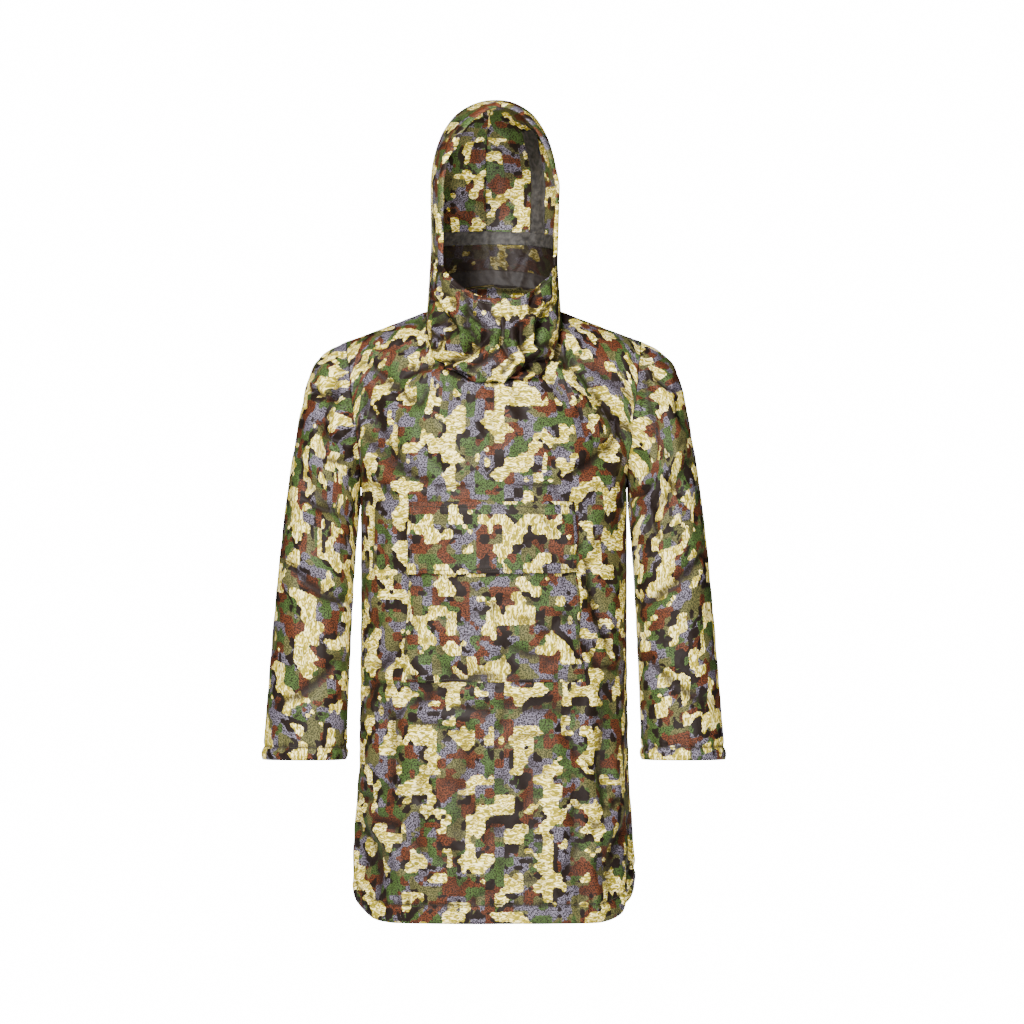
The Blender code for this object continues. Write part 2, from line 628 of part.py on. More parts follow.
def tape(upper, seam, lower):
    """Outer and inner grids of a tape on the inside of a seam, from the points above, on and below it."""
    (high, way_high), (low, way_low) = upper, lower
    way = unit(way_high + way_low)
    bent = 1.0 / (way * way_low).sum(-1, keepdims=True)
    base = np.array([low, seam, high])
    ways = np.array([way_low, way * bent, way_high])
    return base + ways * (CLOTH + LAID_GAP), base + ways * (CLOTH + LAID_GAP + TAPE)


# --------------------------------------------------------------------------------------------- assembly


def cut_pieces():
    """Every piece of the shell as a Cloth, creased and sewn to its neighbours."""
    front = Cloth(half_turned(panel("front_depth", FRONT_NECK, FRONT_COLUMNS)))
    back = Cloth(panel("back_depth", BACK_NECK, BACK_COLUMNS))
    front.crease(BODY_FOLDS)
    back.crease(BODY_FOLDS)
    pieces = {"front": front, "back": back}

    mirrored = [fold._replace(x1=-fold.x1, x2=-fold.x2) for fold in SLEEVE_FOLDS]
    for name, side, folds in (("sleeve_left", 1, SLEEVE_FOLDS), ("sleeve_right", -1, mirrored)):
        runs = armhole(front, back, side)
        opening = np.concatenate([cloth.grid[rows, column] for cloth, column, rows in runs])
        pieces[name] = Cloth(sleeve(side, opening), ring=True)
        pieces[name].crease(folds)

    neck = np.arange(SHOULDER_COLUMNS, PANEL_COLUMNS - SHOULDER_COLUMNS)
    neckline = halved(np.concatenate([front.grid[-1, neck], back.grid[-1, neck]]))
    collar = Cloth(neck_band(neckline), ring=True)
    collar.crease(COWL_FOLDS)
    pieces["collar"] = collar

    quarter = BAND_COLUMNS // 4
    left = np.arange(quarter + RIM_COLUMN, 3 * quarter + 1)
    right = np.arange(3 * quarter, BAND_COLUMNS + quarter - RIM_COLUMN + 1)
    for name, side, columns in (("hood_left", 1, left), ("hood_right", -1, right)):
        seam = collar.grid[-1, columns % BAND_COLUMNS]
        pieces[name] = Cloth(hood_half(side, seam))
    sew_all(pieces, neck, left, right)
    return pieces


def sew_all(pieces, neck, left, right):
    """Parts the pieces along their seams: neck, left and right are the columns of the neckline and hood."""
    front, back, collar = pieces["front"], pieces["back"], pieces["collar"]
    skirt_rows = np.arange(SKIRT_ROWS)
    sew(side_seam(front, 0, skirt_rows), side_seam(back, -1, skirt_rows))
    sew(side_seam(front, -1, skirt_rows), side_seam(back, 0, skirt_rows))
    shoulder = np.arange(SHOULDER_COLUMNS + 1)
    for run in (shoulder, PANEL_COLUMNS - shoulder):
        sew(row_seam(front, -1, run), row_seam(back, -1, PANEL_COLUMNS - run))
    for name, side in (("sleeve_left", 1), ("sleeve_right", -1)):
        runs = armhole(front, back, side)
        start = 0
        for cloth, column, rows in runs:
            columns = np.arange(start, start + len(rows))
            sew(side_seam(cloth, column, rows), row_seam(pieces[name], 0, columns), CORNER_GAP)
            start += len(rows)
        # Both panels meet the sleeve at its top and at the armpit, but only one was sewn there
        side_seam(runs[1][0], 0, [SKIRT_ROWS + YOKE_ROWS]).draw_back(SEAM_GAP / 2)
        side_seam(runs[0][0], -1, [SKIRT_ROWS]).draw_back(SEAM_GAP / 2)
    for cloth, start in ((front, 0), (back, BAND_COLUMNS // 2)):
        even = start + 2 * np.arange(len(neck) + 1)
        run = np.concatenate([neck, [neck[-1] + 1]])
        sew(row_seam(cloth, -1, run), row_seam(collar, 0, even), CORNER_GAP)
    even = np.arange(0, BAND_COLUMNS, 2)
    collar.grid[0, even + 1] = (collar.grid[0, even] + collar.grid[0, (even + 2) % BAND_COLUMNS]) / 2
    collar.inward[0, even + 1] = unit(collar.inward[0, even] + collar.inward[0, (even + 2) % BAND_COLUMNS])
    one, other = pieces["hood_left"], pieces["hood_right"]
    for hood, columns in ((one, left), (other, right)):
        sew(row_seam(hood, 0, np.arange(len(columns))), row_seam(collar, -1, columns))
    last = len(left) - 1
    run = np.arange(last + 1)
    sew(row_seam(one, -1, run), row_seam(other, -1, last - run))
    rise = np.arange(HOOD_ROWS)
    sew(side_seam(one, -1, rise), side_seam(other, 0, rise))


def hood_low(pieces, columns):
    """Points of both halves of the hood, half a tape's width above the neck band's seam."""
    quarter = BAND_COLUMNS // 4
    found = []
    for name, start in (("hood_left", quarter + RIM_COLUMN), ("hood_right", 3 * quarter)):
        mine = columns[(columns <= 3 * quarter) if name == "hood_left" else (columns > 3 * quarter)]
        found.append(down_column(pieces[name], mine - start, 0, 1, TAPE_WIDTH / 2))
    return tuple(np.concatenate(parts) for parts in zip(*found))


def tapes(pieces):
    """Outer and inner grids of the two seam tapes inside the back of the neck."""
    collar = pieces["collar"]
    bearings = band_bearings()
    columns = np.flatnonzero((bearings > TAPE_BEARING) & (bearings < 360.0 - TAPE_BEARING))
    band_low = down_column(collar, columns, -1, -2, TAPE_WIDTH / 2)
    yield "hood_tape", tape(hood_low(pieces, columns), collar.grid[-1, columns], band_low)

    rows, columns = np.meshgrid(NECK_TAPE_ROWS, columns.astype(float), indexing="ij")
    base, way = sample(collar.grid, rows, columns), unit(sample(collar.inward, rows, columns))
    yield "neck_tape", (base + way * (CLOTH + LAID_GAP), base + way * (CLOTH + LAID_GAP + TAPE))


def build():
    for old in list(bpy.data.objects):
        bpy.data.objects.remove(old, do_unlink=True)
    collection = bpy.data.collections.new(NAME)
    bpy.context.scene.collection.children.link(collection)

    pieces = cut_pieces()
    for name, cloth in pieces.items():
        inner = cloth.grid + cloth.inward * CLOTH
        wall(name, cloth.grid, inner, cloth.ring, COATED_CLOTH, collection)

    for name, make in (("pocket", pocket), ("pocket_flap", pocket_flap)):
        wall(name, *make(pieces["front"]), False, FOLDED_CLOTH, collection)
    for name, layers in tapes(pieces):
        wall(name, *layers, False, SEAM_TAPE, collection)


build()
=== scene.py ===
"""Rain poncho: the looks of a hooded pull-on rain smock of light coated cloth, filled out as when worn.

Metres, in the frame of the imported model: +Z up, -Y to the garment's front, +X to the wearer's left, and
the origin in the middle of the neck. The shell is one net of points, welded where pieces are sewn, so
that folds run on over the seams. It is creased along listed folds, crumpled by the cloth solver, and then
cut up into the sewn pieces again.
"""

import json
from collections import namedtuple

import bpy
import mathutils
import numpy as np
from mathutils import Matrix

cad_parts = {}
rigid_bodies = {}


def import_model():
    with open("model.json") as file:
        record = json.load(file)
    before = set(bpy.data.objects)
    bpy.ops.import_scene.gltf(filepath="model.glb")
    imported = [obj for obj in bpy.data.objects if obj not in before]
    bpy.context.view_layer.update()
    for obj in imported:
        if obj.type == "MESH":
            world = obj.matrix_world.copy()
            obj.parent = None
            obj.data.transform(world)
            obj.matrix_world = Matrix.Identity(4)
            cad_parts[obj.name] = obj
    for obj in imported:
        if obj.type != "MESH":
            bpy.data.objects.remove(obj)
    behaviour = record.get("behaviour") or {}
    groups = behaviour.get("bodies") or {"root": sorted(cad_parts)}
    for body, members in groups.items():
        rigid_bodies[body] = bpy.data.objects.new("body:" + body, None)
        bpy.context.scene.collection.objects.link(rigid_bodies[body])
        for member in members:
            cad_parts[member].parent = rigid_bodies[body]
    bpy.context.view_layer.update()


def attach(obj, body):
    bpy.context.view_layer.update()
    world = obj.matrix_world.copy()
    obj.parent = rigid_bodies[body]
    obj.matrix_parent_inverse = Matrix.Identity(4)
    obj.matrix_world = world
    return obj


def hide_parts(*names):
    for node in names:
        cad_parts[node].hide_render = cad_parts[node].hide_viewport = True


bl_info = {
    "name": "Rain Poncho",
    "version": (1, 0, 0),
    "blender": (4, 5, 0),
    "location": "View3D > Sidebar > Rain Poncho",
    "description": "Dresses the packed rain poncho in creased, printed and stitched cloth",
    "category": "Object",
}

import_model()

# How finely the net is laid out, in steps for each piece
PANEL_COLUMNS = 208
SHOULDER_COLUMNS = 48
SKIRT_ROWS = 140
YOKE_ROWS = 80
SLEEVE_ROWS = 152
BAND_COLUMNS = 224
RIM_COLUMN = 36
COLLAR_ROWS = 56
HOOD_ROWS = 76
HOOD_WALL_ROWS = 26
PATCH_COLUMNS = 130
POUCH_ROWS = 110
FLAP_ROWS = 50
TAPE_ROWS = 12
UPRIGHT_ROWS = 60
UPRIGHT_COLUMNS = 8

# Body
BODY_POWER = 2.3
ARMPIT_Z = -0.250
HEM_Z = -0.922
HEM_RISE = 0.058
HEM_RISE_ARC = 0.52
Section = namedtuple("Section", "z half_width front_depth back_depth")
BODY_SECTIONS = (
    Section(z=-0.930, half_width=0.2080, front_depth=0.154, back_depth=0.140),
    Section(z=-0.868, half_width=0.2110, front_depth=0.154, back_depth=0.140),
    Section(z=-0.800, half_width=0.2125, front_depth=0.153, back_depth=0.139),
    Section(z=-0.740, half_width=0.2085, front_depth=0.152, back_depth=0.138),
    Section(z=-0.690, half_width=0.2065, front_depth=0.151, back_depth=0.136),
    Section(z=-0.600, half_width=0.2060, front_depth=0.149, back_depth=0.134),
    Section(z=-0.450, half_width=0.2060, front_depth=0.149, back_depth=0.132),
    Section(z=-0.250, half_width=0.2060, front_depth=0.150, back_depth=0.138),
)
Flute = namedtuple("Flute", "waves depth")
HEM_FLUTES = (Flute(waves=6, depth=0.0030), Flute(waves=10, depth=0.0022), Flute(waves=14, depth=0.0016))
FLUTE_TOP = 0.75  # share of the skirt's height that the flutes reach

# Shoulders and neckline. Each column of a yoke is a curve from the armpit's height, leaving it out and up,
# to the top edge, which it reaches going over and rising
SHOULDER_TIP = (0.228, 0.000, -0.026)
NECK_SIDE = (0.104, 0.000, 0.0205)
Neck = namedtuple("Neck", "depth z power")
FRONT_NECK = Neck(depth=0.116, z=-0.091, power=2.6)
BACK_NECK = Neck(depth=0.098, z=0.062, power=2.1)
Column = namedtuple("Column", "across out up over rise")
FRONT_COLUMNS = (
    Column(across=0.00, out=0.230, up=0.120, over=0.270, rise=0.080),
    Column(across=0.07, out=0.090, up=0.240, over=0.270, rise=0.060),
    Column(across=0.14, out=0.020, up=0.290, over=0.270, rise=0.055),
    Column(across=0.23, out=0.010, up=0.310, over=0.250, rise=0.080),
    Column(across=0.34, out=0.008, up=0.240, over=0.130, rise=0.150),
    Column(across=0.50, out=0.005, up=0.170, over=0.060, rise=0.150),
)
BACK_COLUMNS = (
    Column(across=0.00, out=0.240, up=0.120, over=0.290, rise=0.080),
    Column(across=0.07, out=0.110, up=0.240, over=0.280, rise=0.060),
    Column(across=0.14, out=0.060, up=0.280, over=0.270, rise=0.055),
    Column(across=0.23, out=0.060, up=0.300, over=0.250, rise=0.090),
    Column(across=0.34, out=0.050, up=0.310, over=0.170, rise=0.190),
    Column(across=0.50, out=0.045, up=0.320, over=0.110, rise=0.220),
)

# Sleeves: rings from the armhole to the cuff, each from its outer point to its inner one
SLEEVE_POWER = 2.2
SLEEVE_FIT = 0.30
Ring = namedtuple("Ring", "row outer_x outer_z inner_x inner_z y half_depth")
SLEEVE_RINGS = (
    Ring(0, 0.2280, -0.026, 0.2063, -0.250, 0.000, 0.064),
    Ring(1, 0.2560, -0.040, 0.2067, -0.262, -0.001, 0.068),
    Ring(2, 0.2755, -0.057, 0.2072, -0.275, -0.002, 0.071),
    Ring(3, 0.2885, -0.086, 0.2080, -0.290, -0.004, 0.073),
    Ring(4, 0.2975, -0.124, 0.2092, -0.306, -0.006, 0.074),
    Ring(5, 0.3070, -0.175, 0.2110, -0.325, -0.009, 0.075),
    Ring(6, 0.3165, -0.235, 0.2128, -0.347, -0.013, 0.075),
    Ring(7, 0.3250, -0.300, 0.2148, -0.376, -0.018, 0.074),
    Ring(8, 0.3325, -0.370, 0.2172, -0.415, -0.023, 0.073),
    Ring(9, 0.3400, -0.450, 0.2200, -0.473, -0.029, 0.072),
    Ring(10, 0.3465, -0.530, 0.2232, -0.540, -0.035, 0.070),
    Ring(11, 0.3525, -0.605, 0.2258, -0.607, -0.040, 0.068),
    Ring(12, 0.3577, -0.672, 0.2283, -0.672, -0.044, 0.067),
)

# Hood and neck band. Bearings are degrees round the neck from the centre front
HOOD_TURN = 6.0
HOOD_HALF_WIDTH = 0.098
HOOD_HALF_DEPTH = 0.118
HOOD_MIDDLE_Y = 0.008
HOOD_POWER = 2.35
Edge = namedtuple("Edge", "bearing z draw_in")
BAND_TOP = (
    Edge(bearing=0, z=0.039, draw_in=0.010),
    Edge(bearing=15, z=0.040, draw_in=0.008),
    Edge(bearing=30, z=0.050, draw_in=0.004),
    Edge(bearing=45, z=0.069, draw_in=0.001),
    Edge(bearing=58, z=0.088, draw_in=0.001),
    Edge(bearing=75, z=0.109, draw_in=0.001),
    Edge(bearing=90, z=0.122, draw_in=0.001),
    Edge(bearing=130, z=0.134, draw_in=0.003),
    Edge(bearing=180, z=0.138, draw_in=0.006),
)
COWL_FULLNESS = 0.017
COWL_BEARING = 80.0
COWL_SAG = 0.35
DOME_Z = 0.200
Ridge = namedtuple("Ridge", "along y z power pull")
HOOD_RIDGE = (
    Ridge(along=0.00, y=-0.105, z=0.333, power=1.87, pull=-0.012),
    Ridge(along=0.12, y=-0.085, z=0.340, power=2.10, pull=-0.008),
    Ridge(along=0.30, y=-0.050, z=0.346, power=2.35, pull=-0.003),
    Ridge(along=0.55, y=-0.005, z=0.347, power=2.30, pull=0.000),
    Ridge(along=0.80, y=0.040, z=0.341, power=2.20, pull=0.003),
    Ridge(along=1.00, y=0.074, z=0.328, power=2.05, pull=0.008),
)

# Pocket and flap, in the front view, and the lines of stitches inside their edges
Corner = namedtuple("Corner", "z left right")
POCKET_SIDES = (
    Corner(z=-0.5510, left=-0.1405, right=0.1390),
    Corner(z=-0.4200, left=-0.1330, right=0.1287),
    Corner(z=-0.2745, left=-0.1285, right=0.1255),
)
POCKET_WIDTH = 0.270
POCKET_TOP = -0.313
POCKET_BOTTOM = -0.551
FLAP_TOP = -0.2745
FLAP_BOTTOM = -0.3845
POCKET_INSET = 0.004
POCKET_GAP = 0.0014  # between the panel and the pocket's edge
POCKET_PUFF = 0.0022  # how much further out its middle lies
PUFF_REACH = 0.03
FLAP_INSET = 0.006
FLAP_TOP_INSET = 0.008
FLAP_GAP = 0.0016
FLAP_STEP = 0.0028  # over the pocket's upper edge
FLAP_STEP_SHARE = 0.2
FLAP_FLARE = 0.0032
STITCHED_POINTS = 60

# Hems, the casing of the hood's rim, and seams
HEM_WIDTHS = {"front": 0.029, "back": 0.029, "sleeve_left": 0.020, "sleeve_right": 0.020, "hood": 0.020}
BAND_HEM = 0.009
CASING = 0.0042
HEM_FULLNESS = 0.5  # of a hem, as a share of the casing's
CASING_POWER = 0.6
DIP = 0.5  # how far the stitches draw the cloth in, as a share of the casing's fullness
DIP_REACH = 0.004
PUCKER = 0.0020
PUCKER_REACH = 0.016
PUCKERS = ((0.0135, 0.4), (0.0210, 2.1), (0.0370, 4.0))  # pitches, and where each starts
CENTRE_SEAM_SUNK = 0.0006
FAR_OFF = 0.05  # a distance from any seam that shows none

# Seam tapes. An edge lies a share of the way down the neck band, and a height above that
TAPE_BEARING = 62.0
HOOD_TAPE_EDGES = ((0.0, -0.011), (0.0, 0.011))
NECK_TAPE_EDGES = ((0.975, 0.0), (0.65, 0.0))
TAPE_GAP = 0.0013
UPRIGHT_BEARING = 129.0
UPRIGHT_SPAN = (0.05, 0.66)
UPRIGHT_HALF_WIDTH = 0.018
UPRIGHT_GAP = 0.0018
STITCH_RADIUS = 0.00035
STITCH_FLATNESS = 0.8
STITCH_HALF = 0.42  # half of a stitch, as a share of the pitch

# How the cloth settles: the solver's settings, how firmly each part is held, and its share of the growth
SETTLE_FRAMES = 20
SOLVER = {
    "quality": 6,
    "mass": 0.05,
    "tension_stiffness": 15.0,
    "compression_stiffness": 15.0,
    "shear_stiffness": 5.0,
    "bending_stiffness": 0.08,
    "pin_stiffness": 1.0,
    "shrink_min": -0.14,  # the cloth grows by this share where nothing keeps it snug
    "shrink_max": 0.0,
}
MOST_SETTLED = 0.018
HOLD = 0.05
SEAM_HOLD = 0.40
HEM_SHARE = 0.6  # how firmly a hem is held, as a share of a seam
SEAM_REACH = 0.02
SLEEVE_REACH = 0.55
NAPE_HOLD = 0.35
HOOD_HOLD = 0.22
BODY_SLACK = 0.45
ARMHOLE_SLACK = 0.85
POCKET_SLACK = 0.30
POCKET_ROUND = (0.15, -0.60, -0.22)  # half the width, the bottom and the top of the cloth round the pocket
LEAST_SLACK = 0.2
MORE_SLACK = {"sleeve": 0.30, "hood": 0.40, "front": 0.8, "back": 0.8, "collar": 0.8}
SLACK_REACH = 0.10
COWL_SHARE = 7 / 8  # of the neck band's rows
SWELL_STEPS = 70
SWELL_TAKEN = 0.85
OUTLINE_SHARE = 0.25
# Where soft changes start, and over what span: y at the cowl and the nape, and how far the cloth faces
COWL_FRONT = (-0.05, -0.03)
SLACK_FRONT = (-0.04, -0.04)
NAPE_HELD = (-0.06, 0.05)
# The inside of the nape gets painted shade between these spans of y and z
NAPE_PAINTED_SHADE = (-0.03, 0.04)
NAPE_TOP = (0.135, -0.012)
FACING = (0.15, 0.55)
BLEND_STEPS = 6
# A spot is a place at both armholes in the front view, and its reach
Spot = namedtuple("Spot", "x z wide tall")
ARMPIT_GAP = Spot(x=0.235, z=-0.23, wide=0.035, tall=0.10)
ARMHOLE = Spot(x=0.215, z=-0.130, wide=0.055, tall=0.110)
ARMHOLE_SEAM = Spot(x=0.232, z=-0.19, wide=0.022, tall=0.07)

# Painted shade in hollows of two sizes: steps of averaging, and the depth that counts as full
BROAD_HOLLOW = (12, 0.0019)
COWL_HOLLOW = (3, 0.00029)
OUTSIDE_HOLLOW = 0.8
INSIDE_HOLLOW = -0.5
ARMHOLE_EASED = 0.7

# Small wrinkles: how many, and the spread of their directions, lengths, widths, heights and bends
WRINKLES = 420
WRINKLE_WAY = 0.9
WRINKLE_LENGTHS = (0.020, 0.070)
WRINKLE_WIDTHS = (0.0035, 0.0075)
WRINKLE_RISE = 0.0011
WRINKLE_BEND = 4.0
WRINKLE_FACING = 0.3

# The section of a fold: banks beside the trough, the ends' taper, the width there and what the middle adds
FOLD_BANK = 0.30
FOLD_END = 0.08
FOLD_TAPER = 0.7
FOLD_END_WIDTH = 0.75
FOLD_MIDDLE_WIDTH = 0.45
FOLD_FACING = 0.4
FOLD_BLEND = 4
# The dark line along a fold is painted shade
CREASE_WIDTH = 0.45  # of the dark line along a fold, as a share of the fold's width
FULL_CREASE = 0.010  # folds that are less deep have a paler one

# Folds as lines in the front view, bowed sideways in the middle: troughs where depth is positive
Fold = namedtuple("Fold", "x1 z1 x2 z2 bow width depth")
FOLDS = (
    ("body", "front", (
        Fold(0.098, -0.044, 0.222, -0.200, -0.010, 0.011, 0.0130),
        Fold(0.125, -0.050, 0.215, -0.120, -0.004, 0.010, 0.0070),
        Fold(-0.205, -0.100, -0.140, -0.215, 0.006, 0.013, 0.0080),
        Fold(-0.190, -0.060, -0.120, -0.120, 0.004, 0.010, 0.0045),
        Fold(-0.200, -0.170, -0.115, -0.240, 0.006, 0.012, 0.0060),
        Fold(0.200, -0.160, 0.120, -0.235, -0.006, 0.012, 0.0055),
        Fold(0.168, -0.560, 0.172, -0.740, 0.003, 0.011, 0.0100),
        Fold(0.150, -0.370, 0.182, -0.500, 0.004, 0.010, 0.0065),
        Fold(0.207, -0.770, 0.182, -0.885, 0.010, 0.013, 0.0110),
        Fold(-0.208, -0.770, -0.180, -0.890, -0.010, 0.013, 0.0100),
        Fold(-0.165, -0.560, -0.160, -0.730, -0.004, 0.013, 0.0070),
        Fold(-0.040, -0.600, -0.058, -0.910, 0.006, 0.020, 0.0055),
        Fold(0.060, -0.640, 0.080, -0.915, 0.006, 0.018, 0.0045),
        Fold(-0.110, -0.620, -0.128, -0.900, -0.004, 0.014, 0.0045),
        Fold(0.128, -0.700, 0.130, -0.900, 0.004, 0.012, 0.0045),
    )),
    ("body", "back", (
        Fold(-0.110, -0.120, -0.190, -0.240, 0.006, 0.015, 0.0095),
        Fold(0.115, -0.110, 0.185, -0.230, -0.006, 0.015, 0.0080),
        Fold(0.090, -0.400, 0.120, -0.820, 0.010, 0.019, 0.0095),
        Fold(-0.070, -0.460, -0.095, -0.870, -0.010, 0.019, 0.0100),
        Fold(0.010, -0.280, 0.000, -0.640, 0.008, 0.018, 0.0065),
        Fold(-0.150, -0.300, -0.160, -0.620, 0.005, 0.015, 0.0060),
        Fold(0.160, -0.330, 0.165, -0.640, -0.005, 0.015, 0.0060),
    )),
    ("sleeve_left", "front", (
        Fold(0.232, -0.060, 0.262, -0.200, 0.006, 0.011, 0.0085),
        Fold(0.222, -0.300, 0.300, -0.215, 0.010, 0.011, 0.0085),
        Fold(0.225, -0.430, 0.318, -0.360, 0.010, 0.012, 0.0075),
        Fold(0.240, -0.520, 0.335, -0.585, 0.008, 0.012, 0.0065),
        Fold(0.216, -0.268, 0.246, -0.242, 0.003, 0.0055, 0.0100),
        Fold(0.264, -0.234, 0.288, -0.262, -0.003, 0.0055, 0.0090),
        Fold(0.284, -0.104, 0.296, -0.160, 0.003, 0.0055, 0.0075),
        Fold(0.246, -0.070, 0.278, -0.102, 0.003, 0.0055, 0.0085),
        Fold(0.238, -0.282, 0.254, -0.330, 0.004, 0.0065, 0.0090),
    )),
    ("sleeve_right", "front", (
        Fold(-0.284, -0.101, -0.245, -0.113, 0.003, 0.0055, 0.0090),
        Fold(-0.270, -0.150, -0.233, -0.184, 0.004, 0.0060, 0.0110),
        Fold(-0.258, -0.207, -0.229, -0.213, 0.002, 0.0055, 0.0090),
        Fold(-0.294, -0.269, -0.250, -0.290, 0.004, 0.0060, 0.0100),
        Fold(-0.246, -0.084, -0.239, -0.128, 0.003, 0.0055, 0.0080),
        Fold(-0.232, -0.060, -0.262, -0.200, 0.006, 0.011, 0.0085),
        Fold(-0.222, -0.300, -0.300, -0.220, -0.010, 0.011, 0.0085),
        Fold(-0.225, -0.430, -0.315, -0.370, -0.010, 0.012, 0.0075),
        Fold(-0.240, -0.520, -0.330, -0.585, -0.008, 0.012, 0.0065),
    )),
    ("sleeve_left", "back", (
        Fold(0.225, -0.240, 0.295, -0.160, 0.008, 0.012, 0.0085),
        Fold(0.225, -0.360, 0.315, -0.420, 0.008, 0.012, 0.0080),
        Fold(0.240, -0.500, 0.335, -0.470, 0.008, 0.012, 0.0060),
    )),
    ("sleeve_right", "back", (
        Fold(-0.225, -0.240, -0.295, -0.160, -0.008, 0.012, 0.0085),
        Fold(-0.225, -0.360, -0.315, -0.420, -0.008, 0.012, 0.0080),
        Fold(-0.240, -0.500, -0.335, -0.470, -0.008, 0.012, 0.0060),
    )),
    ("body", "front", (
        Fold(0.084, -0.026, 0.114, -0.058, -0.004, 0.011, 0.0130),
        Fold(-0.098, -0.060, -0.150, -0.090, 0.004, 0.010, 0.0060),
    )),
    ("collar", "front", (
        Fold(-0.046, 0.042, -0.012, -0.006, 0.004, 0.0060, 0.0140),
        Fold(0.080, 0.064, 0.056, 0.018, 0.003, 0.0055, 0.0110),
        Fold(-0.082, -0.062, -0.004, -0.014, 0.006, 0.0070, 0.0202),
        Fold(-0.074, -0.030, -0.020, 0.004, 0.004, 0.0060, -0.0064),
        Fold(-0.092, 0.034, -0.056, -0.012, 0.006, 0.0070, 0.0202),
        Fold(-0.076, -0.062, -0.040, -0.084, 0.003, 0.0055, 0.0124),
        Fold(0.042, -0.004, 0.056, -0.062, 0.003, 0.0065, 0.0186),
        Fold(0.026, -0.088, 0.080, -0.052, -0.005, 0.0065, 0.0155),
        Fold(0.030, -0.072, 0.076, -0.036, -0.005, 0.0065, -0.0064),
        Fold(0.090, 0.030, 0.066, -0.030, 0.004, 0.0065, 0.0170),
        Fold(0.072, 0.034, 0.052, -0.012, 0.004, 0.0055, -0.0055),
        Fold(-0.078, 0.074, -0.034, 0.026, 0.004, 0.0060, -0.0055),
        Fold(-0.044, 0.020, -0.028, -0.022, 0.005, 0.0055, 0.0124),
        Fold(0.012, 0.006, 0.022, -0.050, 0.004, 0.0060, 0.0078),
    )),
)


def smooth(t):
    """0 below 0, 1 above 1, and a soft rise between them."""
    t = np.clip(t, 0.0, 1.0)
    return t * t * (3.0 - 2.0 * t)


def ramp(value, start, span):
    """0 up to start and 1 past start + span, with a soft rise between them."""
    return smooth((value - start) / span)


def unit(vectors):
    return vectors / np.maximum(np.linalg.norm(vectors, axis=-1, keepdims=True), 1e-12)


def cubic(t, start, leave, end, reach):
    """A cubic curve from start, leaving it in one direction, to end, reached in another."""
    return (
        (1 + 2 * t) * (1 - t) ** 2 * start
        + t * (1 - t) ** 2 * leave
        + t**2 * (3 - 2 * t) * end
        + t**2 * (t - 1) * reach
    )


def read(table, key, name, at):
    """The column called name, at the values at of the column called key, on a smooth curve."""
    x = np.array([getattr(row, key) for row in table], float)
    y = np.array([getattr(row, name) for row in table], float)
    slope = np.gradient(y, x)
    at = np.clip(at, x[0], x[-1])
    k = np.clip(np.searchsorted(x, at, side="right") - 1, 0, len(x) - 2)
    span = x[k + 1] - x[k]
    return cubic((at - x[k]) / span, y[k], span * slope[k], y[k + 1], span * slope[k + 1])


def squared_circle(angle, power):
    """Cosine and sine of a superellipse: a circle for a power of 2, squarer above it."""
    c, s = np.cos(angle), np.sin(angle)
    reach = (np.abs(c) ** power + np.abs(s) ** power) ** (-1.0 / power)
    return reach * c, reach * s


def points(x, y, z):
    return np.stack(np.broadcast_arrays(x, y, z), axis=-1).astype(float)


def turned(p, degrees, middle_y):
    """The points turned about a vertical line through (0, middle_y)."""
    a = np.radians(degrees)
    x, y = p[..., 0], p[..., 1] - middle_y
    return points(x * np.cos(a) - y * np.sin(a), x * np.sin(a) + y * np.cos(a) + middle_y, p[..., 2])


def run(net, axis):
    """How far along the cloth each point of a net lies from the first of its row or column."""
    far = np.cumsum(np.linalg.norm(np.diff(net, axis=axis), axis=-1), axis=axis)
    return np.insert(far, 0, 0.0, axis=axis)


def cells(net, axis=-1):
    """The four corners of every cell of a net, in turn."""
    return np.stack((net[:-1, :-1], net[:-1, 1:], net[1:, 1:], net[1:, :-1]), axis=axis)


def sample(grid, row, column):
    """The grid's value at fractional rows and columns."""
    i = np.clip(np.floor(row).astype(int), 0, grid.shape[0] - 2)
    j = np.clip(np.floor(column).astype(int), 0, grid.shape[1] - 2)
    a, b = (row - i)[..., None], (column - j)[..., None]
    low = grid[i, j] * (1 - b) + grid[i, j + 1] * b
    high = grid[i + 1, j] * (1 - b) + grid[i + 1, j + 1] * b
    return low * (1 - a) + high * a


# ----------------------------------------------------------------------------------- form of the pieces


def hem_height(across):
    from_seam = 1.0 - np.abs(2.0 * across - 1.0)
    return HEM_Z + HEM_RISE * np.clip(1.0 - from_seam / HEM_RISE_ARC, 0.0, 1.0) ** 2


def skirt(across, up, depth_name):
    """A panel below the armpits, facing +Y: across from +X to -X, up from hem to armpit."""
    z = hem_height(across) + (ARMPIT_Z - hem_height(across)) * up
    angle = np.pi * across
    c, s = squared_circle(angle, BODY_POWER)
    x = read(BODY_SECTIONS, "z", "half_width", z) * c
    y = read(BODY_SECTIONS, "z", depth_name, z) * s
    swell = sum(flute.depth * np.sin(flute.waves * angle) for flute in HEM_FLUTES)
    swell = swell * (1.0 - smooth(up / FLUTE_TOP))
    return points(x, y, z) + unit(points(c, s, 0 * c)) * swell[..., None]


